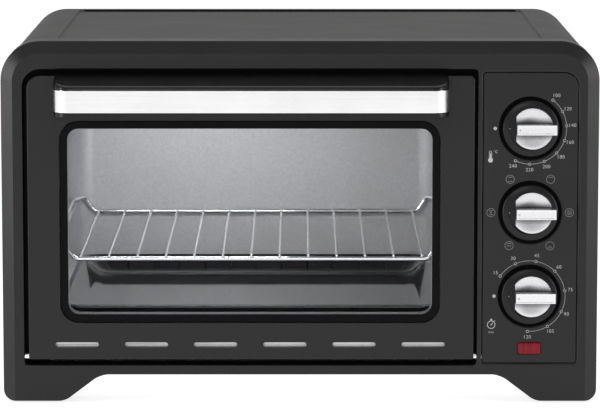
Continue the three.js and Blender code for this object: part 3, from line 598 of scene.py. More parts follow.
def silvered(name, colour, floor, crest, knob_z, pitch):
    """Silver paint on plastic, with painted shade: full colour on the raised bar and a darker painted
    shade in the dish, darkest close beside the bar.
    """
    finish = Finish(name, Metallic=0.85, Roughness=0.26)
    where = finish.node("ShaderNodeSeparateXYZ", Vector=finish.coordinates())
    # Painted shade: the low dish takes a darker tone than the raised bar.
    rise = finish.spread(finish.value(where, 1), 0, 1, floor, crest)
    # Painted shade beside the bar: darkest up to 4.5 mm above or below the knob's centre, fading out by
    # 9.5 mm.
    aside = finish.value(where, 2) - knob_z
    aside = aside.math("WRAP", aside, pitch / 2, -pitch / 2)
    aside = aside.math("ABSOLUTE", aside)
    foot = finish.spread(aside, 0, 1, 4.5 * MM, 9.5 * MM)
    flake = finish.spread(finish.noise(3200, 1), 0, 1)
    drift = finish.noise(90, 3)
    dish = finish.mixed(foot, shade(colour, 0.16), shade(colour, 0.86))
    tone = finish.mixed(rise, dish, colour)
    finish.feed("Base Color", finish.mixed(flake * 0.06, tone, shade(colour, 0.8)))
    finish.feed("Roughness", finish.spread(drift, 0.25, 0.28))
    finish.bump(flake, 0.001 * MM, 0.1)
    return finish


def tinted_lens(name, colour):
    """Clear red plastic: a deep colour, a bright surface and fine moulded ribs."""
    finish = Finish(name, Roughness=0.2, Specular_IOR_Level=0.2)
    ribs = finish.noise(1, 2, 0.5, (900, 60, 60))
    depth = finish.noise(140, 3)
    tone = finish.mixed(finish.spread(ribs, 0, 1), shade(colour, 0.62), shade(colour, 1.3))
    finish.feed("Base Color", finish.mixed(finish.spread(depth, 0, 0.5), tone, shade(colour, 0.5)))
    finish.feed("Roughness", finish.spread(depth, 0.08, 0.2))
    finish.bump(ribs, 0.06 * MM, 0.4)
    return finish


def window_glass(name, colour):
    """Toughened glass: mostly see-through, mirror-like at a low angle, with faint smears."""
    finish = Finish(name, Roughness=0.02, IOR=1.5)
    smear = finish.noise(26, 4, 0.6, (1, 1, 2.4))
    finish.feed("Base Color", finish.mixed(finish.spread(smear, 0, 1), shade(colour, 0.9), colour))
    finish.feed("Roughness", finish.spread(smear, 0.01, 0.05))
    finish.bump(finish.noise(9, 1), 0.05 * MM, 0.1)
    clear = finish.node("ShaderNodeBsdfTransparent", Color=(0.96, 0.965, 0.97, 1))
    mirror = finish.value(finish.node("ShaderNodeFresnel", IOR=1.5))
    mix = finish.node("ShaderNodeMixShader", Fac=finish.spread(mirror, 0.004, 0.7, 0.04, 1))
    finish.tree.links.new(clear.outputs[0], mix.inputs[1])
    finish.tree.links.new(finish.shader.outputs[0], mix.inputs[2])
    end = finish.tree.nodes["Material Output"]
    finish.tree.links.new(mix.outputs[0], end.inputs["Surface"])
    return finish


def heated_sheath(name, colour):
    """Steel sheath, tinted by heat in slow bands along its length."""
    finish = Finish(name, Metallic=0.7, Roughness=0.5)
    bands = finish.noise(1, 2, 0.5, (14, 2, 2))
    grit = finish.noise(900, 3)
    blue = (colour[0] * 0.75, colour[1] * 0.85, colour[2] * 1.15, 1)
    tone = finish.mixed(finish.spread(bands, 0, 1), blue, shade(colour, 1.25))
    finish.feed("Base Color", finish.mixed(finish.spread(grit, 0, 0.35), tone, shade(colour, 0.5)))
    finish.feed("Roughness", finish.spread(grit, 0.42, 0.6))
    finish.bump(grit, 0.03 * MM, 0.4)
    return finish


# The finish that each of the record's material slots has on a node that is shown as it is.
SLOT_FINISHES = {
    "satin_black": "satin_black",
    "black_paint": "casing_paint",
    "gloss_black": "gloss_black",
    "matt_black": "matt_black",
    "stainless": "brushed_stainless",
    "chrome_wire": "bright_wire",
    "silver_plastic": "silver_plastic",
    "aluminised_steel": "aluminised",
    "zinc_steel": "zinc",
    "enamel": "enamel",
    "heater_sheath": "heater_sheath",
    "rubber": "rubber",
    "phenolic": "phenolic",
    "red_lens": "red_lens",
    "window_glass": "window_glass",
}


def colour_of(name, what, value):
    return FloatVectorProperty(
        name=name, description=what, default=value, size=3, subtype="COLOR", min=0, max=1
    )


def length_of(name, what, value):
    return FloatProperty(name=name, description=what, default=value, unit="LENGTH", min=0)


class OvenColours(bpy.types.PropertyGroup):
    satin: colour_of("Satin black", "Front frame, door and control panel", (0.0075, 0.0075, 0.0078))
    casing: colour_of("Casing paint", "Top, sides and back", (0.052, 0.053, 0.051))
    gloss: colour_of("Gloss black", "Handle, window border and knob skirts", (0.004, 0.004, 0.0045))
    silver: colour_of("Silver", "Knob caps", (0.8, 0.8, 0.82))
    steel: colour_of("Aluminised steel", "Cavity walls and ledges", (0.66, 0.66, 0.675))
    stainless: colour_of("Stainless steel", "Handle trim", (0.86, 0.86, 0.86))
    wire: colour_of("Bright wire", "Rack and hinge pins", (0.88, 0.88, 0.89))
    enamel: colour_of("Enamel", "Baking tray", (0.006, 0.006, 0.008))
    lens: colour_of("Pilot lens", "Lens over the pilot lamp", (0.22, 0.006, 0.012))
    print: colour_of("Lettering", "Marks round the knobs", (0.42, 0.42, 0.42))
    floor: colour_of("Floor", "Studio floor", (0.5, 0.5, 0.5))


class OvenSizes(bpy.types.PropertyGroup):
    rim: length_of("Rim", "Width of the sloped rim on the frame's sides and top", 9.5 * MM)
    rim_fall: length_of("Rim fall", "How far that rim falls back", 5.4 * MM)
    mouth: length_of("Mouth", "Rounding of the edges of the door's opening", 1.2 * MM)
    panel_mouth: length_of("Panel mouth", "Rounding of the panel's opening", 2.1 * MM)
    crease: length_of("Crease", "Half the width of the sunk middle of the top", 194 * MM)
    sink: length_of("Sink", "Depth of the sunk middle of the top", 1.6 * MM)
    door_edge: length_of("Door edge", "Rounding of the door's front edge", 1.3 * MM)
    handle_edge: length_of("Handle edge", "Rounding of the grip's front top edge", 2.4 * MM)
    knob_edge: length_of("Knob edge", "Rounding of the grip bars", 1 * MM)
    camera_height: length_of("Camera height", "Height of the camera above the table", 540 * MM)
    distance: length_of("Camera distance", "Distance from the front frame's face", 2800 * MM)


class OVEN_OT_finishes(bpy.types.Operator):
    """Makes every finish and gives it to the nodes that are shown as they are"""

    bl_idname = "oven.finishes"
    bl_label = "Finishes"

    def execute(self, context):
        colours = context.scene.oven_colours

        def own(name):
            return tuple(getattr(colours, name)) + (1.0,)

        cap = place_of("timer_knob_cap")
        moulded("satin_black", own("satin"), 0.34, 2600, 0.02 * MM, 0.34)
        painted("casing_paint", own("casing"), 0.5, 0.2)
        glossy("gloss_black", own("gloss"), 0.16, 0.004, 0.05)
        glossy("grip_black", own("gloss"), 0.22, 0.004, 0.3)
        glossy("skirt_black", own("gloss"), 0.28, 0.004, 0.3)
        moulded("matt_black", (0.006, 0.006, 0.006, 1), 0.62, 2200, 0.05 * MM, 0.15)
        # deep_black carries painted shade: the rings in the knob recesses and the strip on the top's
        # back step.
        moulded("deep_black", (0.003, 0.003, 0.003, 1), 0.7, 1800, 0.02 * MM, 0.04)
        sheet_metal("brushed_stainless", own("stainless"), 0.22, (6, 900, 900), contrast=0.05)
        sheet_metal("bright_wire", own("wire"), 0.14, (60, 60, 60), contrast=0.06)
        knob_z, pitch = self.knob_spacing()
        silvered("silver_plastic", own("silver"), cap.back - 2.8 * MM, cap.front, knob_z, pitch)
        spangled("aluminised", own("steel"), 0.42)
        sheet_metal("zinc", (0.64, 0.64, 0.63, 1), 0.36, (400, 400, 400), contrast=0.08)
        glossy("enamel", own("enamel"), 0.04, 0.001, 0.5, 0.3)
        heated_sheath("heater_sheath", (0.16, 0.15, 0.14, 1))
        moulded("rubber", (0.015, 0.015, 0.015, 1), 0.8, 1400, 0.08 * MM)
        moulded("phenolic", (0.03, 0.022, 0.018, 1), 0.55, 1800, 0.04 * MM)
        tinted_lens("red_lens", own("lens"))
        window_glass("window_glass", (0.6, 0.62, 0.62, 1))
        moulded("printed", own("print"), 0.5, 3000, 0.01 * MM)
        moulded("printed_dim", shade(own("print"), 0.4), 0.5, 3000, 0.01 * MM)
        table = moulded("studio_floor", own("floor"), 0.9, 40, 0.02 * MM, 0.1, 0.01)
        table.shader.inputs["Emission Color"].default_value = (1, 1, 1, 1)
        table.shader.inputs["Emission Strength"].default_value = TABLE_GLOW
        for part in frame["record"]["subparts"]:
            node = frame["nodes"][part["node"]]
            node.data.materials.clear()
            node.data.materials.append(FINISHES[SLOT_FINISHES[part["material_slot"]]])
        return {"FINISHED"}

    def knob_spacing(self):
        """The height of one knob's centre, and the distance to the next."""
        heights = [middle(place_of(f"{name}_knob_skirt")).z for name in KNOBS[:2]]
        return heights[0], heights[0] - heights[1]


# ---- Front frame -----------------------------------------------------------------------------------
FRAME_R = 31.5 * MM
FOOT_R = 8.6 * MM
ARCH_SLOPE = math.radians(37)
TOE = 49.4 * MM  # the foot's toe from the frame's side
TOE_R = 14 * MM
SKIRT_Z = 23 * MM
SKIRT_R = 20 * MM
FRAME_WALL = 3 * MM
FRAME_PLATE = 5.5 * MM  # so the sloped rim keeps a wall behind it
LIP_WALL = 4 * MM
OPENING_RADII = [3 * MM, 3 * MM, 3 * MM, 14.5 * MM]
PANEL_RADII = [2 * MM, 2 * MM, 11.5 * MM, 2 * MM]
HINGE_DEPTH = 4.5 * MM
HINGE_Z = DOOR.bottom + 1.9 * MM
HINGE_BORE_R = 3.9 * MM


def radii_grown(radii, by):
    return [max(radius + by, 0.4 * MM) for radius in radii]


def frame_block(inset, front, back):
    """The front frame's silhouette with its two feet, drawn in by inset all round."""
    place = grown(WHOLE, -inset)._replace(front=front, back=back)
    radii = radii_grown([FOOT_R, FOOT_R, FRAME_R, FRAME_R], -inset)
    body = slab(place, radii, segments=14)
    skirt = SKIRT_Z + inset
    lift = inset * math.tan(ARCH_SLOPE / 2)
    toe = WHOLE.right - TOE + lift
    shoulder = toe - (skirt - place.bottom) / math.tan(ARCH_SLOPE)
    reach = 12 * MM
    arch = block(Place(-shoulder, shoulder, front - MM, back + MM, place.bottom - reach, skirt))
    edit(arch)
    for side in (-1, 1):
        out = side * (skirt - place.bottom + reach) / math.tan(ARCH_SLOPE)
        edges = along(1, x=side * shoulder, z=place.bottom - reach)
        pick(arch, "EDGE", edges)
        bpy.ops.transform.translate(value=(out, 0, 0))
        pick(arch, "EDGE", along(1, x=side * shoulder, z=skirt))
        bevel((SKIRT_R + inset) * math.tan(ARCH_SLOPE / 2), 10)
    cut(body, arch)
    edit(body)
    for side in (-1, 1):
        pick(body, "EDGE", along(1, x=side * toe, z=place.bottom))
        bevel((TOE_R - inset) * math.tan(ARCH_SLOPE / 2), 8)
    only(body)
    return body


def rod(radius, start, end, axis=0, sides=40):
    """A round tool from one point to another along an axis."""
    length = (Vector(end) - Vector(start))[axis]
    return turned([(radius, 0), (radius, length)], start, axis, sides)


class OVEN_OT_front_frame(bpy.types.Operator):
    """Models the moulded front frame with its two feet"""

    bl_idname = "oven.front_frame"
    bl_label = "Front frame"

    def rimmed(self, width, fall):
        """A block round the whole frame, its sides and top sloped to the front."""
        margin = MM
        steep = fall / width
        around = grown(WHOLE, margin)
        tool = slab(
            around._replace(
                front=WHOLE.front + fall + margin * steep,
                back=WHOLE.back + margin,
                bottom=WHOLE.bottom - 60 * MM,
            ),
            [0, 0, FRAME_R + margin, FRAME_R + margin],
            segments=14,
        )
        edit(tool)
        pick(tool, "FACE", facing(1, -1))
        bpy.ops.mesh.inset(thickness=width + margin, depth=fall + margin * steep)
        only(tool)
        return tool

    def on_mouth(self, place):
        """A test for the front edges of an opening."""
        around = grown(place, NEAR)

        def test(edge):
            return all(
                near(vert.co.y, WHOLE.front)
                and around.left < vert.co.x < around.right
                and around.bottom < vert.co.z < around.top
                for vert in edge.verts
            )

        return test

    def execute(self, context):
        sizes = context.scene.oven_sizes
        body = frame_block(0, WHOLE.front, WHOLE.back)
        boolean(body, self.rimmed(sizes.rim, sizes.rim_fall), "INTERSECT")
        hollow = frame_block(FRAME_WALL, WHOLE.front + FRAME_PLATE, WHOLE.back + 5 * MM)
        lip_back = OPENING.back
        for place, radii in ((OPENING, OPENING_RADII), (PANEL, PANEL_RADII)):
            lip = grown(place, LIP_WALL)._replace(front=WHOLE.front - MM, back=lip_back)
            cut(hollow, slab(lip, radii_grown(radii, LIP_WALL)))
        cut(body, hollow)
        mouths = ((OPENING, OPENING_RADII, sizes.mouth), (PANEL, PANEL_RADII, sizes.panel_mouth))
        for place, radii, rounding in mouths:
            mouth = place._replace(front=WHOLE.front - 5 * MM, back=lip_back + MM)
            cut(body, slab(mouth, radii))
            edit(body)
            pick(body, "EDGE", self.on_mouth(place))
            bevel(rounding, 4)
            only(body)
        y = FACE + HINGE_DEPTH
        bores = ((OPENING.left - 5 * MM, OPENING.left + MM), (OPENING.right - MM, PANEL.left + MM))
        for left, right in bores:
            cut(body, rod(HINGE_BORE_R, (left, y, HINGE_Z), (right, y, HINGE_Z)))
        soften(clean(body), 0.45 * MM, 2, 24)
        finished(body, "front_frame_moulding", "root", "satin_black", ["front_frame"])
        for side in ("left", "right"):
            node = f"front_foot_pad_{side}"
            place = place_of(node)
            centre = middle(place)
            radius = (place.right - place.left) / 2
            height = place.top - place.bottom
            centre.z = place.bottom
            profile = [
                (radius * 0.94, 0),
                (radius, 0.25 * MM),
                (radius, height - 0.25 * MM),
                (radius * 0.94, height),
            ]
            pad = turned(profile, centre, 2)
            finished(pad, f"{node}_rubber", "root", "rubber", [node])
        return {"FINISHED"}


# ---- Outer casing, back and rear feet --------------------------------------------------------------
CASING_R = 30.3 * MM
SHEET = 0.7 * MM
CREASE_CORNER = 6 * MM
BACK_STEP = 9 * MM
# Rows of vents. The first starts the lead before the fan's axis or the panel's middle.
SIDE_VENTS = {"count": 8, "pitch": 9 * MM, "width": 3.5 * MM, "lead": 34 * MM}
SIDE_VENT_HEIGHTS = (90 * MM, 130 * MM)
BACK_VENTS = {"count": 10, "pitch": 6.4 * MM, "width": 3.2 * MM, "lead": 30 * MM}
BACK_VENT_HEIGHTS = (190 * MM, 235 * MM)
LOW_VENTS = {"count": 8, "left": -150 * MM}
LOW_VENT_HEIGHTS = (60 * MM, 90 * MM)
SIDE_SCREWS = {"depths": (22 * MM, 286 * MM), "height": 38 * MM}
# Where the back's screws stand, in millimetres across and up.
BACK_SCREWS = ((-228, 60), (-228, 220), (228, 60), (228, 220), (-120, 281), (120, 281), (0, 30))
PRESSED_MARGIN = 17 * MM
PRESSED_DEPTH = 1.2 * MM
GLAND_HOLE_R = 8.3 * MM


def slot_tool(left, right, front, back, bottom, top, axis):
    """A slot with round ends, to be cut out along an axis."""
    place = Place(left, right, front, back, bottom, top)
    spans = [right - left, back - front, top - bottom]
    radius = min(span for i, span in enumerate(spans) if i != axis) / 2.05
    return rounded(place, radius, axis, 6)


def screw_head(centre, axis, sign, radius=3.4 * MM, height=1.7 * MM):
    """A pan-head screw with a cross recess, standing on a face."""
    profile = [
        (radius, -0.4 * MM * sign),
        (radius, 0.2 * MM * sign),
        (radius * 0.93, height * 0.55 * sign),
        (radius * 0.72, height * 0.86 * sign),
        (radius * 0.4, height * sign),
    ]
    head = turned(profile, centre, axis, 28)
    top = Vector(centre) + AXES[axis] * height * sign
    for arm in [i for i in range(3) if i != axis]:
        half = Vector((0.35, 0.35, 0.35)) * MM
        half[arm] = radius * 0.52
        half[axis] = height * 0.55
        low, high = top - half, top + half
        cut(head, block(Place(low.x, high.x, low.y, high.y, low.z, high.z)))
    return soften(head, 0.12 * MM, 1)


class OVEN_OT_casing(bpy.types.Operator):
    """Models the sheet that makes the oven's top and sides, with its vents and screws"""

    bl_idname = "oven.casing"
    bl_label = "Casing"

    def execute(self, context):
        sizes = context.scene.oven_sizes
        radii = [0, 0, CASING_R, CASING_R]
        shell = slab(CASING, radii, segments=18)
        crease = sizes.crease
        back_step = CASING.back - BACK_STEP
        sunk = Place(
            -crease, crease, CASING.front - MM, back_step, CASING.top - sizes.sink, CASING.top + 5 * MM
        )
        sunk_tool = slab(sunk, [0, 0, CREASE_CORNER, CREASE_CORNER], axis=2)
        edit(sunk_tool)
        pick(sunk_tool, "FACE", facing(2, 1))
        bpy.ops.transform.resize(value=(1.012, 1.012, 1), center_override=middle(sunk))
        only(sunk_tool)
        cut(shell, sunk_tool)
        inside = grown(CASING, -SHEET)._replace(
            front=CASING.front - MM,
            back=CASING.back + MM,
            bottom=CASING.bottom - MM,
            top=CASING.top - sizes.sink - SHEET,
        )
        cut(shell, slab(inside, [0, 0, CASING_R, CASING_R], segments=18))
        fan = middle(place_of("fan_guard"))
        first = fan.y - SIDE_VENTS["lead"]
        vent = slot_tool(
            CASING.right - 6 * MM,
            CASING.right + 5 * MM,
            first,
            first + SIDE_VENTS["width"],
            *SIDE_VENT_HEIGHTS,
            0,
        )
        cut(shell, *row(vent, 1, SIDE_VENTS["pitch"], SIDE_VENTS["count"]))
        soften(clean(shell), 0.3 * MM)
        finished(shell, "casing_sheet", "root", "casing_paint", ["outer_casing"])
        # Painted shade: a thin deep black strip on the forward face of the step at the back of the sunk
        # top.
        step_shade = Place(
            4 * MM - crease,
            crease - 4 * MM,
            back_step - 0.4 * MM,
            back_step - 0.05 * MM,
            CASING.top - sizes.sink - 0.2 * MM,
            CASING.top - 0.1 * MM,
        )
        finished(soften(block(step_shade), 0.08 * MM, 1), "casing_seam", "root", "deep_black")
        heads = []
        for side in (-1, 1):
            for depth in SIDE_SCREWS["depths"]:
                x = side * (CASING.right - 0.1 * MM)
                centre = (x, CASING.front + depth, SIDE_SCREWS["height"])
                heads.append(screw_head(centre, 0, side, 2.6 * MM, 1.1 * MM))
        screws = merged(*heads)
        finished(screws, "casing_screws", "root", "matt_black")
        return {"FINISHED"}


class OVEN_OT_back(bpy.types.Operator):
    """Models the pressed back panel, its screws, the cord gland and the rear feet"""

    bl_idname = "oven.back"
    bl_label = "Back"

    def execute(self, context):
        place = place_of("back_panel")
        sheet = slab(place, [0, 0, CASING_R, CASING_R], segments=18)
        edit(sheet)
        for sign, plane in ((1, place.back), (-1, place.front)):
            pick(sheet, "FACE", facing(1, sign, plane))
            bpy.ops.mesh.inset(thickness=PRESSED_MARGIN, depth=0)
            bpy.ops.mesh.inset(thickness=1.4 * MM, depth=-sign * PRESSED_DEPTH)
        only(sheet)
        gland = place_of("cord_gland")
        centre = middle(gland)
        centre.y = place.front - 4 * MM
        cut(sheet, disc(GLAND_HOLE_R, centre, 1, 9 * MM))
        through = (place.front - 4 * MM, place.back + 4 * MM)
        pitch, width = BACK_VENTS["pitch"], BACK_VENTS["width"]
        left = middle(PANEL).x - BACK_VENTS["lead"]
        vent = slot_tool(left, left + width, *through, *BACK_VENT_HEIGHTS, 1)
        cut(sheet, *row(vent, 0, pitch, BACK_VENTS["count"]))
        left = LOW_VENTS["left"]
        low = slot_tool(left, left + width, *through, *LOW_VENT_HEIGHTS, 1)
        soften(cut(clean(sheet), *row(low, 0, pitch, LOW_VENTS["count"])), 0.2 * MM, 2, 35)
        finished(sheet, "back_sheet", "root", "casing_paint", ["back_panel"])
        heads = [screw_head((x * MM, place.back, z * MM), 1, 1) for x, z in BACK_SCREWS]
        finished(merged(*heads), "back_screws", "root", "zinc")
        self.gland(gland)
        for side in ("left", "right"):
            self.foot(f"rear_foot_{side}")
        return {"FINISHED"}

    def gland(self, place):
        outer = (place.right - place.left) / 2
        flange_front = place.front
        length = place.back - flange_front
        profile = [
            (4 * MM, 0),
            (outer, 0),
            (outer, 3 * MM),
            (8 * MM, 3.4 * MM),
            (8 * MM, length - 7 * MM),
            (8 * MM, length - 3 * MM),
            (7.4 * MM, length - 1.2 * MM),
            (6 * MM, length),
            (4.6 * MM, length),
            (4 * MM, length - 0.6 * MM),
            (4 * MM, 0),
        ]
        centre = middle(place)
        centre.y = flange_front
        body = turned(profile, centre, 1, 48, closed=True)
        soften(body, 0.25 * MM)
        finished(body, "cord_gland_moulding", "root", "matt_black", ["cord_gland"])

    def foot(self, node):
        place = place_of(node)
        centre = middle(place)
        centre.z = place.bottom
        top = (place.right - place.left) / 2
        height = place.top - place.bottom
        profile = [
            (top - 4 * MM, 0.6 * MM),
            (top - 3.4 * MM, 0),
            (top - 2.6 * MM, 0),
            (top - 2 * MM, 0.7 * MM),
            (top - 1.9 * MM, 3 * MM),
            (top - 1.2 * MM, 3.6 * MM),
            (top, height - 1.2 * MM),
            (top, height - 0.4 * MM),
            (top - 0.4 * MM, height),
        ]
        foot = turned(profile, centre, 2)
        finished(foot, f"{node}_moulding", "root", "matt_black", [node])


# ---- Door ------------------------------------------------------------------------------------------
DOOR_RADII = [1.5 * MM, 1.5 * MM, 4 * MM, 10.5 * MM]
DOOR_PLATE = 5 * MM
DOOR_FLANGE = 3 * MM
HINGE_BLOCK = (14 * MM, 9.4 * MM)
WINDOW_R = 9 * MM
SLOT = {"count": 6, "width": 34.7 * MM, "height": 4.1 * MM, "pitch": 55.3 * MM, "rise": 10 * MM}


def window_tool(grow, front, back, segments=10):
    place = grown(PANE, grow)._replace(front=front, back=back)
    return slab(place, [WINDOW_R + grow] * 4, segments=segments)


class OVEN_OT_door(bpy.types.Operator):
    """Models the door's panel, window border, glass, liner, slot strip and hinge pins"""

    bl_idname = "oven.door"
    bl_label = "Door"

    def execute(self, context):
        sizes = context.scene.oven_sizes
        self.panel(sizes)
        self.border()
        self.glass()
        self.strip()
        self.liner()
        for side in ("left", "right"):
            self.pin(f"hinge_pin_{side}")
        return {"FINISHED"}

    def panel(self, sizes):
        body = slab(DOOR, DOOR_RADII, segments=12)
        edit(body)
        pick(body, "FACE", facing(1, -1, DOOR.front))
        bpy.ops.mesh.region_to_loop()
        bevel(sizes.door_edge, 4)
        plate_back = DOOR.front + DOOR_PLATE
        hollow = grown(DOOR, -DOOR_FLANGE)._replace(front=plate_back, back=DOOR.back + 5 * MM)
        hollow_tool = slab(hollow, radii_grown(DOOR_RADII, -DOOR_FLANGE))
        width, height = HINGE_BLOCK
        for left, right in ((DOOR.left, DOOR.left + width), (DOOR.right - width, DOOR.right)):
            corner = Place(left, right, FACE, DOOR.back + 6 * MM, DOOR.bottom, DOOR.bottom + height)
            cut(hollow_tool, block(corner))
        cut(body, hollow_tool)
        cut(body, window_tool(WINDOW_BORDER + CLEAR, DOOR.front - MM, plate_back + MM))
        x = (PANE.left + PANE.right) / 2 - (SLOT["count"] - 1) * SLOT["pitch"] / 2
        z = DOOR.bottom + SLOT["rise"]
        slot = slot_tool(
            x - SLOT["width"] / 2,
            x + SLOT["width"] / 2,
            DOOR.front - MM,
            plate_back + MM,
            z,
            z + SLOT["height"],
            1,
        )
        cut(body, *row(slot, 0, SLOT["pitch"], SLOT["count"]))
        soften(clean(body), 0.35 * MM)
        finished(body, "door_moulding", "door", "satin_black", ["door_panel"])

    def border(self):
        ring = slab(BORDER, [WINDOW_R + WINDOW_BORDER] * 4, segments=12)
        cut(ring, window_tool(0, BORDER.front - MM, BORDER.back + MM, 12))
        soften(clean(ring), 0.6 * MM, 3)
        finished(ring, "window_border", "door", "gloss_black", ["window_frame"])

    def glass(self):
        place = place_of("door_glass")
        radius = WINDOW_R + (place.right - PANE.right)
        pane = soften(rounded(place, radius, segments=12), 0.5 * MM)
        finished(pane, "door_pane", "door", "window_glass", ["door_glass"])

    def strip(self):
        place = place_of("slot_backing")
        strip = rounded(place, 1.5 * MM)
        edit(strip)
        pick(strip, "FACE", facing(1, -1))
        bpy.ops.mesh.inset(thickness=1.1 * MM, depth=0)
        bpy.ops.mesh.inset(thickness=0.6 * MM, depth=-0.3 * MM)
        only(strip)
        finished(strip, "slot_strip", "door", "zinc", ["slot_backing"])

    def liner(self):
        place = place_of("door_liner")
        sheet = slab(place, radii_grown(DOOR_RADII, -0.6 * MM), segments=12)
        cut(sheet, window_tool(0, place.front - MM, place.back + MM, 12))
        bead = 0.6 * MM
        for grow, radius in ((12 * MM, 16 * MM), (20 * MM, 22 * MM)):
            line = grown(PANE, grow)._replace(front=place.back - bead * 0.4, back=place.back + bead)
            inner = grown(line, -1.6 * MM)._replace(front=place.front - MM, back=place.back + 2 * MM)
            ring = cut(rounded(line, radius, segments=10), rounded(inner, radius, segments=10))
            united(sheet, ring)
        soften(clean(sheet), 0.2 * MM)
        finished(sheet, "liner_sheet", "door", "aluminised", ["door_liner"])
        heads = []
        for x in (DOOR.left + 9 * MM, DOOR.right - 9 * MM):
            for z in (DOOR.bottom + 16 * MM, (DOOR.bottom + DOOR.top) / 2, DOOR.top - 16 * MM):
                heads.append(screw_head((x, place.back, z), 1, 1, 2.6 * MM, 0.7 * MM))
        finished(merged(*heads), "liner_screws", "door", "zinc")

    def pin(self, node):
        place = place_of(node)
        radius = (place.top - place.bottom) / 2
        length = place.right - place.left
        centre = middle(place)
        centre.x = place.left
        profile = [
            (radius - 0.6 * MM, 0),
            (radius, 0.6 * MM),
            (radius, length - 0.6 * MM),
            (radius - 0.6 * MM, length),
        ]
        pin = turned(profile, centre, 0, 32)
        finished(pin, f"{node}_turned", "door", "bright_wire", [node])


# ---- Handle ----------------------------------------------------------------------------------------
HANDLE_R = 14 * MM
HANDLE_WALL = 3.2 * MM
HANDLE_FRONT_DROP = 7.5 * MM
HANDLE_SHELF = 6.5 * MM
TRIM_SHEET = 0.8 * MM


class OVEN_OT_handle(bpy.types.Operator):
    """Models the scooped grip and the bright trim that wraps round it"""

    bl_idname = "oven.handle"
    bl_label = "Handle"

    def execute(self, context):
        sizes = context.scene.oven_sizes
        place = place_of("handle_grip")
        trim = place_of("handle_trim")
        front_radii = [HANDLE_R, HANDLE_R, 0, 0]
        grip = slab(place, front_radii, axis=2, segments=14)
        edit(grip)
        bpy.ops.mesh.select_all(action="SELECT")
        front_top = Vector((0, place.front, place.top - HANDLE_FRONT_DROP))
        rise = Vector((0, place.back, place.top)) - front_top
        bpy.ops.mesh.bisect(
            plane_co=front_top,
            plane_no=AXES[0].cross(rise),
            use_fill=True,
            clear_outer=True,
        )

        def brow(edge):
            looks = sorted(face.normal.z for face in edge.link_faces)
            at_back = all(near(vert.co.y, place.back) for vert in edge.verts)
            return len(looks) == 2 and looks[0] < 0.5 and looks[1] > 0.8 and not at_back

        pick(grip, "EDGE", brow)
        bevel(sizes.handle_edge, 5)
        only(grip)
        outside = grown(place, MM)._replace(
            front=place.front - MM,
            back=place.back + MM,
            bottom=trim.bottom - CLEAR,
            top=trim.top + CLEAR,
        )
        inside = self.plan(place, TRIM_SHEET + CLEAR, place.back + 2 * MM, outside)
        groove = cut(slab(outside, radii_grown(front_radii, MM), 2, 14), inside)
        cut(grip, groove)
        band = outside._replace(bottom=place.bottom - MM, top=front_top.z - HANDLE_SHELF)
        cut(grip, self.plan(place, HANDLE_WALL, place.back - HANDLE_WALL, band, 0))
        soften(clean(grip), 0.7 * MM, 3)
        finished(grip, "handle_moulding", "door", "grip_black", ["handle_grip"])
        wrap = slab(trim, front_radii, axis=2, segments=16)
        cut(wrap, self.plan(trim, TRIM_SHEET, trim.back + MM, outside))
        soften(clean(wrap), 0.25 * MM)
        finished(wrap, "trim_sheet", "door", "brushed_stainless", ["handle_trim"])
        return {"FINISHED"}

    def plan(self, place, inset, back, height, reach=MM):
        """The handle's plan drawn in by inset, as a tool over a band of heights."""
        tool = Place(
            place.left + inset,
            place.right - inset,
            place.front + inset,
            back,
            height.bottom - reach,
            height.top + reach,
        )
        return slab(tool, [HANDLE_R - inset, HANDLE_R - inset, 0, 0], axis=2, segments=14)


# ---- Control panel ---------------------------------------------------------------------------------
KNOB_R = 22.4 * MM
RECESS_R = 25.7 * MM
RECESS = 2.5 * MM
# A painted shadow: a dark ring on each recess's floor, under the knob's edge, where the recess is in
# shade.
RECESS_SHADE_RING = {
    "radii": (RECESS_R - 0.5 * MM, KNOB_R - 3 * MM),
    "thickness": 0.18 * MM,
    "lift": 0.22 * MM,
}
PILOT_R = 2 * MM
SHAFT_R = 3 * MM
SHAFT_PLAY = 0.8 * MM


def knob_centre(name, y=0.0):
    centre = middle(place_of(f"{name}_knob_skirt"))
    return Vector((centre.x, y, centre.z))


class OVEN_OT_control_panel(bpy.types.Operator):
    """Models the control panel with its three round recesses, and the pilot lens"""

    bl_idname = "oven.control_panel"
    bl_label = "Control panel"

    def execute(self, context):
        place = place_of("control_panel")
        sheet = slab(place, radii_grown(PANEL_RADII, -CLEAR), segments=12)
        for name in KNOBS:
            floor = place.front + RECESS
            cut(sheet, disc(RECESS_R, knob_centre(name, place.front - MM), 1, RECESS + MM, 96))
            cut(sheet, disc(SHAFT_R + SHAFT_PLAY, knob_centre(name, floor - MM), 1, 8 * MM, 32))
            # Painted shadow: a deep black ring on the recess's floor round the knob.
            centre = knob_centre(name, floor - RECESS_SHADE_RING["lift"])
            shadow = washer(*RECESS_SHADE_RING["radii"], centre, RECESS_SHADE_RING["thickness"], 96)
            finished(shadow, f"{name}_recess_ring", "root", "deep_black")
        lens = place_of("pilot_lens")
        hole = grown(lens, CLEAR)._replace(front=place.front - MM, back=place.back + MM)
        cut(sheet, rounded(hole, PILOT_R + CLEAR))
        soften(clean(sheet), 0.35 * MM, 3)
        finished(sheet, "panel_moulding", "root", "satin_black", ["control_panel"])
        cap = rounded(lens, PILOT_R)
        edit(cap)
        pick(cap, "FACE", facing(1, -1, lens.front))
        bpy.ops.mesh.region_to_loop()
        bevel(1.5 * MM, 5)
        pick(cap, "FACE", facing(1, -1, lens.front))
        bpy.ops.mesh.inset(thickness=0.5 * MM, depth=-0.15 * MM)
        only(cap)
        finished(cap, "pilot_lens_moulding", "root", "red_lens", ["pilot_lens"])
        return {"FINISHED"}


# ---- Knobs -----------------------------------------------------------------------------------------
KNOB_FLOOR = 3.2 * MM
CAP_R = 16.5 * MM
CAP_SHIFT = 1.4 * MM
BAR = {"left": 11.6 * MM, "right": 20.2 * MM, "half": 4.2 * MM, "height": 12.5 * MM}


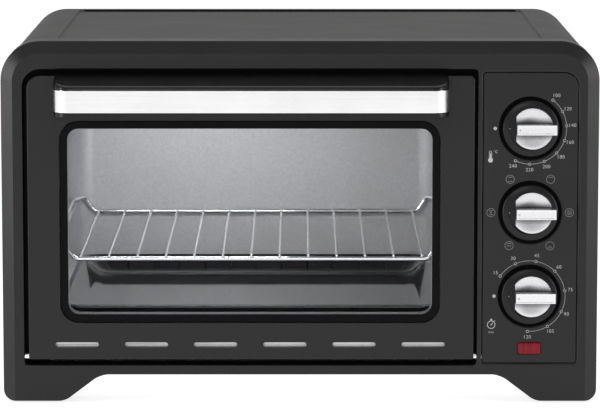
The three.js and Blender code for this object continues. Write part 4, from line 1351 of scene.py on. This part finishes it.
class OVEN_OT_knobs(bpy.types.Operator):
    """Models the three knobs: dished skirt, silver cap with its grip bar, and pointer"""

    bl_idname = "oven.knobs"
    bl_label = "Knobs"

    def execute(self, context):
        sizes = context.scene.oven_sizes
        first, *others = KNOBS
        pieces = [self.skirt(first), self.cap(first, sizes), self.pointer(first)]
        shifts = [knob_centre(name) - knob_centre(first) for name in others]
        sets = [[piece] + copied(piece, *shifts) for piece in pieces]
        for name, skirt, cap, pointer in zip(KNOBS, *sets):
            body = f"{name}_knob"
            nodes = [f"{name}_knob_skirt"], [f"{name}_knob_cap"]
            finished(skirt, f"{name}_skirt", body, "skirt_black", nodes[0])
            finished(cap, f"{name}_cap", body, "silver_plastic", nodes[1])
            finished(pointer, f"{name}_pointer", body, "printed")
        return {"FINISHED"}

    def skirt(self, name):
        place = place_of(f"{name}_knob_skirt")
        bore = SHAFT_R + CLEAR
        top = place.back - place.front
        profile = [
            (bore, 0),
            (KNOB_R - 0.4 * MM, 0),
            (KNOB_R, 0.4 * MM),
            (KNOB_R, top - 2.7 * MM),
            (KNOB_R - 0.15 * MM, top - 2.2 * MM),
            (KNOB_R - 0.6 * MM, top - 1.7 * MM),
            (KNOB_R - 1.4 * MM, top - 1.3 * MM),
            (KNOB_R - 2.8 * MM, top - 0.9 * MM),
            (KNOB_R - 4.2 * MM, top - 0.65 * MM),
            (KNOB_R - 4.9 * MM, top - 0.6 * MM),
            (KNOB_R - 5.3 * MM, top - 0.85 * MM),
            (KNOB_R - 5.4 * MM, KNOB_FLOOR),
            (bore, KNOB_FLOOR),
            (bore, 0),
        ]
        forward = [(radius, -reach) for radius, reach in profile]
        return turned(forward, knob_centre(name, place.back), 1, 96, closed=True)

    def cap(self, name, sizes):
        place = place_of(f"{name}_knob_cap")
        back = place.back
        plate = 2.4 * MM
        profile = [
            (CAP_R, 0),
            (CAP_R, plate - 0.5 * MM),
            (CAP_R - 0.15 * MM, plate - 0.15 * MM),
            (CAP_R - 0.5 * MM, plate),
            (CAP_R - 2.5 * MM, plate - 0.1 * MM),
            (CAP_R - 5 * MM, plate - 0.35 * MM),
            (CAP_R - 7.5 * MM, plate - 0.75 * MM),
            (CAP_R - 10 * MM, plate - 1.2 * MM),
            (CAP_R - 13 * MM, plate - 1.5 * MM),
        ]
        forward = [(radius, -reach) for radius, reach in profile]
        dish = turned(forward, knob_centre(name, back) + CAP_SHIFT * AXES[0], 1, 96)
        x, z = knob_centre(name).x, knob_centre(name).z
        beside = Place(x - 30 * MM, x - BAR["left"], back - 8 * MM, back + MM, z - 30 * MM, z + 30 * MM)
        cut(dish, block(beside))
        soften(dish, 0.2 * MM)
        bar = Place(
            x - BAR["left"],
            x + BAR["right"],
            back - BAR["height"],
            back - plate - 0.9 * MM,
            z - BAR["half"],
            z + BAR["half"],
        )
        grip = self.bar(bar, sizes)
        stem = bar._replace(right=x + CAP_R, front=bar.back - MM, back=back - 0.5 * MM)
        return united(dish, block(grown(stem, -0.2 * MM)), grip)

    def bar(self, place, sizes):
        grip = block(place)
        edit(grip)
        pick(grip, "FACE", facing(1, -1, place.front))
        bpy.ops.transform.resize(value=(0.99, 1, 0.94), center_override=middle(place))
        pick(grip, "FACE", facing(1, -1, place.front))
        bpy.ops.mesh.inset(thickness=sizes.knob_edge, depth=0)
        bpy.ops.mesh.inset(thickness=0.3 * MM, depth=-0.2 * MM)
        only(grip)
        return soften(grip, 0.3 * MM)

    def pointer(self, name):
        place = place_of(f"{name}_knob_cap")
        centre = knob_centre(name)
        tip = Vector((centre.x - BAR["left"] + 0.5 * MM, place.front - 0.02 * MM, centre.z))
        arrow = chain(
            [
                tip + Vector((2.6, 0, 0.9)) * MM,
                tip + Vector((-0.2, 0, 0)) * MM,
                tip + Vector((2.6, 0, -0.9)) * MM,
            ],
            closed=True,
        )
        thicken(arrow, 0.12 * MM, 0)
        edit(arrow)
        bpy.ops.mesh.select_all(action="SELECT")
        bpy.ops.transform.translate(value=(0, 0.2 * MM, 0))
        only(arrow)
        y = place_of(f"{name}_knob_skirt").back - KNOB_FLOOR - 1.1 * MM
        dot = disc(0.45 * MM, (centre.x - 16.6 * MM, y, centre.z), 1, 0.9 * MM, 20)
        return merged(arrow, dot)


# ---- Marks round the knobs -------------------------------------------------------------------------
MARK_Y = place_of("control_panel").front - 0.03 * MM
MARK_DEPTH = 0.08 * MM
MARK_R = 28.5 * MM
TICK_RADII = (1.15 * MM, 0.8 * MM)
NUMBER_R = 33.1 * MM
NUMBER_SIZE = 4 * MM
SYMBOL_ANGLES = (-90, -31, 31, 90, 149, 212)
SYMBOL_R = 31.2 * MM
OFF_MARK_R = 28.2 * MM
TURN = math.radians


def on_dial(name, radius, angle):
    """A point on a dial, its angle clockwise from twelve o'clock."""
    centre = knob_centre(name, MARK_Y)
    return centre + Vector((math.sin(angle), 0, math.cos(angle))) * radius


def lettered(body, size, centre):
    """Flat lettering that faces the front."""
    deselect()
    bpy.ops.object.text_add(location=(0, 0, 0), rotation=(math.pi / 2, 0, 0))
    text = bpy.context.object
    text.data.body = body
    text.data.size = size
    text.data.align_x = "CENTER"
    text.data.align_y = "CENTER"
    text.data.extrude = MARK_DEPTH / 2
    text.data.offset = -0.03 * MM
    text.data.space_character = 1.08
    text.data.resolution_u = 3
    bpy.ops.object.convert(target="MESH")
    text = bpy.context.object
    text.location = centre + Vector((0, MARK_DEPTH / 2, 0))
    return settle()


def ring(outer, inner, centre, sides=28):
    """A printed ring."""
    return washer(outer, inner, centre, MARK_DEPTH, sides)


def stroke(start, end, width):
    """A straight printed line."""
    start, end = Vector(start), Vector(end)
    run = (end - start).normalized()
    aside = Vector((run.z, 0, -run.x)) * width / 2
    line = chain([start + aside, end + aside, end - aside, start - aside], closed=True)
    return thicken(line, MARK_DEPTH, 0)


def arc(name, radius, start, end, width=0.26 * MM):
    """A printed arc, from one angle to another."""
    steps = max(4, round(abs(end - start) / TURN(5)))
    angles = [start + (end - start) * step / steps for step in range(steps + 1)]
    outer = [on_dial(name, radius + width / 2, angle) for angle in angles]
    inner = [on_dial(name, radius - width / 2, angle) for angle in reversed(angles)]
    return thicken(chain(outer + inner, closed=True), MARK_DEPTH, 0)


class OVEN_OT_marks(bpy.types.Operator):
    """Prints the scales, numbers and symbols round the knobs"""

    bl_idname = "oven.marks"
    bl_label = "Dial marks"

    def execute(self, context):
        degrees = [37.5, 61.8, 85.7, 109.6, 133.5, 157.4, 181.3, 204.9]
        labels = [str(100 + 20 * step) for step in range(8)]
        self.scale("thermostat", degrees, labels, self.thermometer())
        minutes = [-55.3, -23.5, 10, 44.9, 81.1, 116.2, 149.2, 182.7]
        labels = [str(15 + 15 * step) for step in range(8)]
        self.scale("timer", minutes, labels, self.stopwatch())
        self.symbols()
        return {"FINISHED"}

    def scale(self, name, angles, labels, icon):
        marks = list(icon)
        half_dot = math.asin(TICK_RADII[0] / MARK_R)
        angles = [TURN(angle) for angle in angles]
        for angle, label in zip(angles, labels):
            marks.append(ring(*TICK_RADII, on_dial(name, MARK_R, angle)))
            marks.append(lettered(label, NUMBER_SIZE, on_dial(name, NUMBER_R, angle)))
        for start, end in zip(angles, angles[1:]):
            marks.append(arc(name, MARK_R, start + half_dot, end - half_dot))
        marks.append(disc(1.35 * MM, on_dial(name, OFF_MARK_R, TURN(270)), 1, MARK_DEPTH, 32))
        finished(merged(*marks), f"{name}_marks", "root", "printed")

    def thermometer(self):
        centre = knob_centre("thermostat", MARK_Y)
        bulb = centre + Vector((-31.8, 0, -25.3)) * MM
        top = bulb + Vector((0, 0, 6.4)) * MM
        glass = [
            stroke(bulb + Vector((side, 0, 1.5)) * MM, top + Vector((side, 0, 0)) * MM, 0.35 * MM)
            for side in (-0.95, 0.95)
        ]
        return glass + [
            disc(1.9 * MM, bulb, 1, MARK_DEPTH, 28),
            stroke(bulb, top - Vector((0, 0, 1.6)) * MM, 1 * MM),
            ring(*TICK_RADII, top),
            lettered("°C", 3.2 * MM, top + Vector((4, 0, 0.2)) * MM),
        ]

    def stopwatch(self):
        centre = knob_centre("timer", MARK_Y) + Vector((-30.3, 0, -23.1)) * MM
        button = centre + Vector((0, 0, 4)) * MM
        return [
            ring(3.3 * MM, 2.75 * MM, centre, 40),
            disc(0.85 * MM, button, 1, MARK_DEPTH, 20),
            stroke(centre + Vector((2.2, 0, 2.6)) * MM, centre + Vector((3, 0, 3.4)) * MM, 0.6 * MM),
            stroke(centre, centre + Vector((1.3, 0, 1.5)) * MM, 0.5 * MM),
            disc(0.55 * MM, centre, 1, MARK_DEPTH, 16),
            lettered("min", 2.9 * MM, centre + Vector((0, 0, -6)) * MM),
        ]

    def symbols(self):
        """Six round symbols: fan, grill, heat above and below, circulating air, and defrost."""
        marks = []
        for angle in SYMBOL_ANGLES:
            centre = on_dial("selector", SYMBOL_R, TURN(angle))
            marks.append(ring(3.5 * MM, 3.1 * MM, centre, 44))
            marks += self.glyph(angle, centre)
        finished(merged(*marks), "selector_marks", "root", "printed_dim")

    def glyph(self, angle, centre):
        def line(x, z, end_x, end_z, width=0.4):
            start = centre + Vector((x, 0, z)) * MM
            return stroke(start, centre + Vector((end_x, 0, end_z)) * MM, width * MM)

        if angle == -90:
            return [line(-1.6, 1.7, 1.6, 1.7), line(-1.6, -1.7, 1.6, -1.7)] + self.fan(centre, 1)
        if angle == -31:
            return [line(-1.8, 1.6, 1.8, 1.6), line(-1.8, -1.6, 1.8, -1.6)]
        if angle == 31:
            return [line(-1.8, 1.6, 1.8, 1.6)]
        if angle == 90:
            return [ring(1.9 * MM, 1.5 * MM, centre, 30)] + self.fan(centre, 0.9)
        if angle == 149:
            return [line(-1.8, -1.6, 1.8, -1.6), line(-1.2, -0.4, 1.2, -0.4, 0.3)]
        zigzag = [(-1.8, 0.4), (-0.9, -0.8), (0, 0.4), (0.9, -0.8), (1.8, 0.4)]
        lines = [line(*start, *end, 0.35) for start, end in zip(zigzag, zigzag[1:])]
        return lines + [line(-1.7, 1.7, 1.7, 1.7)]

    def fan(self, centre, reach):
        blades = []
        for turn in (45, 135, 225, 315):
            out = Vector((math.sin(TURN(turn)), 0, math.cos(TURN(turn))))
            blades.append(stroke(centre, centre + out * reach * MM, 0.5 * MM))
        return blades


# ---- Rack and tray ---------------------------------------------------------------------------------
RACK_WIRE_R = 1.1 * MM
RACK_FRAME_R = 2 * MM
RACK_WIRES = 13
RACK_PITCH = 22.8 * MM
RACK_ROUNDING = 24 * MM
RACK_SHOULDER = 8.5 * MM  # the frame wire drops over this width, this far in from its side
TRAY_RIM = 4.5 * MM
TRAY_RUN = 15.5 * MM
TRAY_SHEET = 0.6 * MM
TRAY_R = 15 * MM


class OVEN_OT_rack(bpy.types.Operator):
    """Models the plated wire rack"""

    bl_idname = "oven.rack"
    bl_label = "Wire rack"

    def execute(self, context):
        place = place_of("wire_rack")
        x = middle(place).x
        side = (place.right - place.left) / 2 - RACK_FRAME_R
        high = place.top - RACK_FRAME_R
        low = place.bottom + RACK_FRAME_R
        front = place.front + 1.5 * MM
        back = place.back - 3 * MM
        shoulder, straight = side - RACK_SHOULDER, side - 2 * RACK_SHOULDER
        half = [
            (side, front, high),
            (shoulder, front, high),
            (straight, front, low),
        ]
        rear = [
            (straight, back, low),
            (shoulder, back, high),
            (side, back - RACK_ROUNDING, high),
        ]
        points = [(x - a, b, c) for a, b, c in half] + [(x + a, b, c) for a, b, c in reversed(half)]
        points += [(x + a, b, c) for a, b, c in reversed(rear)]
        points += [(x - a, b, c) for a, b, c in rear]
        loop = wire_loop(points, RACK_FRAME_R, 4 * MM)
        length = place.back - place.front
        profile = [
            (RACK_WIRE_R * 0.5, 0),
            (RACK_WIRE_R * 0.88, 0.3 * MM),
            (RACK_WIRE_R, 0.8 * MM),
            (RACK_WIRE_R, length - 0.8 * MM),
            (RACK_WIRE_R * 0.88, length - 0.3 * MM),
            (RACK_WIRE_R * 0.5, length),
        ]
        first = x - (RACK_WIRES - 1) / 2 * RACK_PITCH
        z = low + RACK_FRAME_R + RACK_WIRE_R - 0.4 * MM
        cross = turned(profile, (first, place.front, z), 1, 16)
        rack = merged(loop, *row(cross, 0, RACK_PITCH, RACK_WIRES))
        finished(rack, "rack_wires", "rack", "bright_wire", ["wire_rack"], 50)
        return {"FINISHED"}


class OVEN_OT_tray(bpy.types.Operator):
    """Models the enamelled baking tray, drawn from one sheet with a rolled rim"""

    bl_idname = "oven.tray"
    bl_label = "Baking tray"

    def execute(self, context):
        place = place_of("baking_tray")
        pan_place = place._replace(
            left=place.left + TRAY_RIM,
            right=place.right - TRAY_RIM,
            front=place.front + TRAY_RIM,
            back=place.back - TRAY_RIM,
            top=place.top - TRAY_SHEET,
        )
        pan = rounded(pan_place, TRAY_R, axis=2, segments=12)
        centre = middle(pan_place)
        width = pan_place.right - pan_place.left
        length = pan_place.back - pan_place.front
        edit(pan)
        pick(pan, "FACE", facing(2, -1))
        lean = (1 - 2 * TRAY_RUN / width, 1 - 2 * TRAY_RUN / length, 1)
        bpy.ops.transform.resize(value=lean, center_override=centre)
        bpy.ops.mesh.region_to_loop()
        bevel(5 * MM, 6)
        pick(pan, "FACE", facing(2, 1))
        bpy.ops.mesh.inset(thickness=0.01 * MM, depth=0)
        bpy.ops.mesh.delete(type="FACE")
        top = pan_place.top
        pick(pan, "EDGE", lambda edge: edge.is_boundary)
        rim = ((place.right - place.left) / width, (place.back - place.front) / length, 1)
        bpy.ops.mesh.extrude_region_move(TRANSFORM_OT_translate={"value": (0, 0, 0)})
        bpy.ops.transform.resize(value=rim, center_override=centre)
        bpy.ops.mesh.extrude_region_move(TRANSFORM_OT_translate={"value": (0, 0, -1.8 * MM)})
        edit(clean(pan))
        pick(pan, "EDGE", lambda edge: self.at_rim(edge, top))
        bevel(1 * MM, 4)
        only(pan)
        thicken(pan, TRAY_SHEET, -1)
        finished(pan, "tray_sheet", "tray", "enamel", ["baking_tray"], 40)
        return {"FINISHED"}

    def at_rim(self, edge, top):
        """Whether an edge lies on the rim's outer line."""
        looks = [abs(face.normal.z) for face in edge.link_faces]
        level = all(near(vert.co.z, top) for vert in edge.verts)
        return level and len(looks) == 2 and min(looks) < 0.1 < 0.9 < max(looks)


# ---- Cavity and heating elements -------------------------------------------------------------------
CAVITY_R = 22.6 * MM
CAVITY_SHEET = 0.6 * MM
ELEMENT_STUD = 4 * MM  # the thin end that carries the terminal
ELEMENT_COLLAR = 15 * MM  # where the collar behind it ends


class OVEN_OT_cavity(bpy.types.Operator):
    """Models the cavity's wrapped walls and the heating elements"""

    bl_idname = "oven.cavity"
    bl_label = "Cavity"

    def execute(self, context):
        wrap = slab(CAVITY, [0, 0, CAVITY_R, CAVITY_R], axis=2, segments=14)
        edit(wrap)
        pick(wrap, "FACE", lambda face: abs(face.normal.z) > 0.9 or face.normal.y < -0.9)
        bpy.ops.mesh.delete(type="FACE")
        only(wrap)
        thicken(wrap, CAVITY_SHEET, -1)
        fan = place_of("fan_guard")
        centre = middle(fan)
        centre.x = CAVITY.right - 5 * MM
        cut(wrap, disc((fan.top - fan.bottom) / 2 - 5 * MM, centre, 0, 9 * MM, 64))
        finished(wrap, "cavity_walls", "root", "aluminised", ["cavity_wrap"])
        for row_name in ("upper", "lower"):
            for end in ("front", "rear"):
                self.element(f"heater_{row_name}_{end}")
        return {"FINISHED"}

    def element(self, node):
        place = place_of(node)
        radius = (place.top - place.bottom) / 2
        length = place.right - place.left
        end = [
            (radius * 0.6, 0),
            (radius * 0.6, ELEMENT_STUD),
            (radius, ELEMENT_STUD + 0.4 * MM),
            (radius, ELEMENT_COLLAR),
            (radius * 0.92, ELEMENT_COLLAR + 0.6 * MM),
        ]
        profile = end + [(size, length - reach) for size, reach in reversed(end)]
        centre = middle(place)
        centre.x = place.left
        tube = turned(profile, centre, 0, 32)
        finished(tube, f"{node}_tube", "root", "heater_sheath", [node], 40)


# ---- Studio ----------------------------------------------------------------------------------------
# Each softbox's name, place, aim, width and height, in metres, and its power in watts.
SOFTBOXES = (
    ("overhead", (0, 0.1, 1.6), (0, 0, 0.2), (2.2, 1.3), 12),
    ("front", (-0.4, -2.4, 1.3), (-0.04, 0.05, 0.12), (1.2, 0.8), 7),
    ("right", (1.9, -1.0, 0.5), (0.2, -0.1, 0.15), (0.4, 1.3), 10),
    ("left", (-1.9, -1.0, 0.5), (-0.2, -0.1, 0.15), (0.4, 1.3), 15),
)
CAVITY_LIGHT = {"size": (0.16, 0.03), "power": 0.46}
SENSOR = 36.0
LENS = 213.3
AIM_Z = 157.8 * MM


class OVEN_OT_studio(bpy.types.Operator):
    """Sets the floor, the lights and the camera"""

    bl_idname = "oven.studio"
    bl_label = "Studio"

    def execute(self, context):
        sizes = context.scene.oven_sizes
        deselect()
        bpy.ops.mesh.primitive_plane_add(size=60)
        floor = settle()
        floor.name = "studio_floor"
        floor.data.materials.append(FINISHES["studio_floor"])
        for box in SOFTBOXES:
            self.softbox(*box)
        centre = middle(CAVITY)
        top = CAVITY.top - 5 * MM
        ceiling = (centre.x - 50 * MM, CAVITY.front + 30 * MM, top)
        self.softbox("cavity", ceiling, (centre.x, CAVITY.back, 60 * MM), **CAVITY_LIGHT)
        world = bpy.data.worlds.new("studio_air")
        world.use_nodes = True
        air = world.node_tree.nodes["Background"]
        air.inputs["Color"].default_value = (1, 1, 1, 1)
        air.inputs["Strength"].default_value = AIR_GLOW
        bpy.context.scene.world = world
        bpy.context.scene.view_settings.view_transform = "Standard"
        self.camera(sizes)
        return {"FINISHED"}

    def softbox(self, name, place, target, size, power):
        deselect()
        bpy.ops.object.light_add(type="AREA", location=place)
        light = bpy.context.object
        light.name = f"softbox_{name}"
        light.data.shape = "RECTANGLE"
        light.data.size, light.data.size_y = size
        light.data.energy = power
        light.rotation_euler = self.aim(place, target)

    def aim(self, place, target):
        return (Vector(target) - Vector(place)).to_track_quat("-Z", "Y").to_euler()

    def camera(self, sizes):
        place = (0, FACE - sizes.distance, sizes.camera_height)
        target = (0, FACE, AIM_Z)
        deselect()
        bpy.ops.object.camera_add(location=place, rotation=self.aim(place, target))
        camera = bpy.context.object
        camera.name = "studio_camera"
        camera.data.sensor_width = SENSOR
        camera.data.lens = LENS
        camera.data.clip_end = 200
        bpy.context.scene.camera = camera


STEPS = (
    OVEN_OT_finishes,
    OVEN_OT_front_frame,
    OVEN_OT_casing,
    OVEN_OT_back,
    OVEN_OT_control_panel,
    OVEN_OT_knobs,
    OVEN_OT_marks,
    OVEN_OT_door,
    OVEN_OT_handle,
    OVEN_OT_rack,
    OVEN_OT_tray,
    OVEN_OT_cavity,
    OVEN_OT_studio,
)


class OVEN_PT_sidebar(bpy.types.Panel):
    """Lists the oven's steps, sizes and colours"""

    bl_idname = "OVEN_PT_sidebar"
    bl_label = "Toaster Oven"
    bl_space_type = "VIEW_3D"
    bl_region_type = "UI"
    bl_category = "Oven"

    def draw(self, context):
        steps = self.layout.column(align=True)
        for step in STEPS:
            steps.operator(step.bl_idname)
        for group in (context.scene.oven_sizes, context.scene.oven_colours):
            fields = self.layout.column()
            for key in group.__annotations__:
                fields.prop(group, key)


CLASSES = (OvenColours, OvenSizes) + STEPS + (OVEN_PT_sidebar,)


def register():
    for item in CLASSES:
        bpy.utils.register_class(item)
    bpy.types.Scene.oven_colours = PointerProperty(type=OvenColours)
    bpy.types.Scene.oven_sizes = PointerProperty(type=OvenSizes)


def unregister():
    del bpy.types.Scene.oven_sizes
    del bpy.types.Scene.oven_colours
    for item in reversed(CLASSES):
        bpy.utils.unregister_class(item)


def main():
    register()
    for step in STEPS:
        name = step.bl_idname.split(".")[1]
        getattr(bpy.ops.oven, name)()
    deselect()


if __name__ == "__main__":
    main()
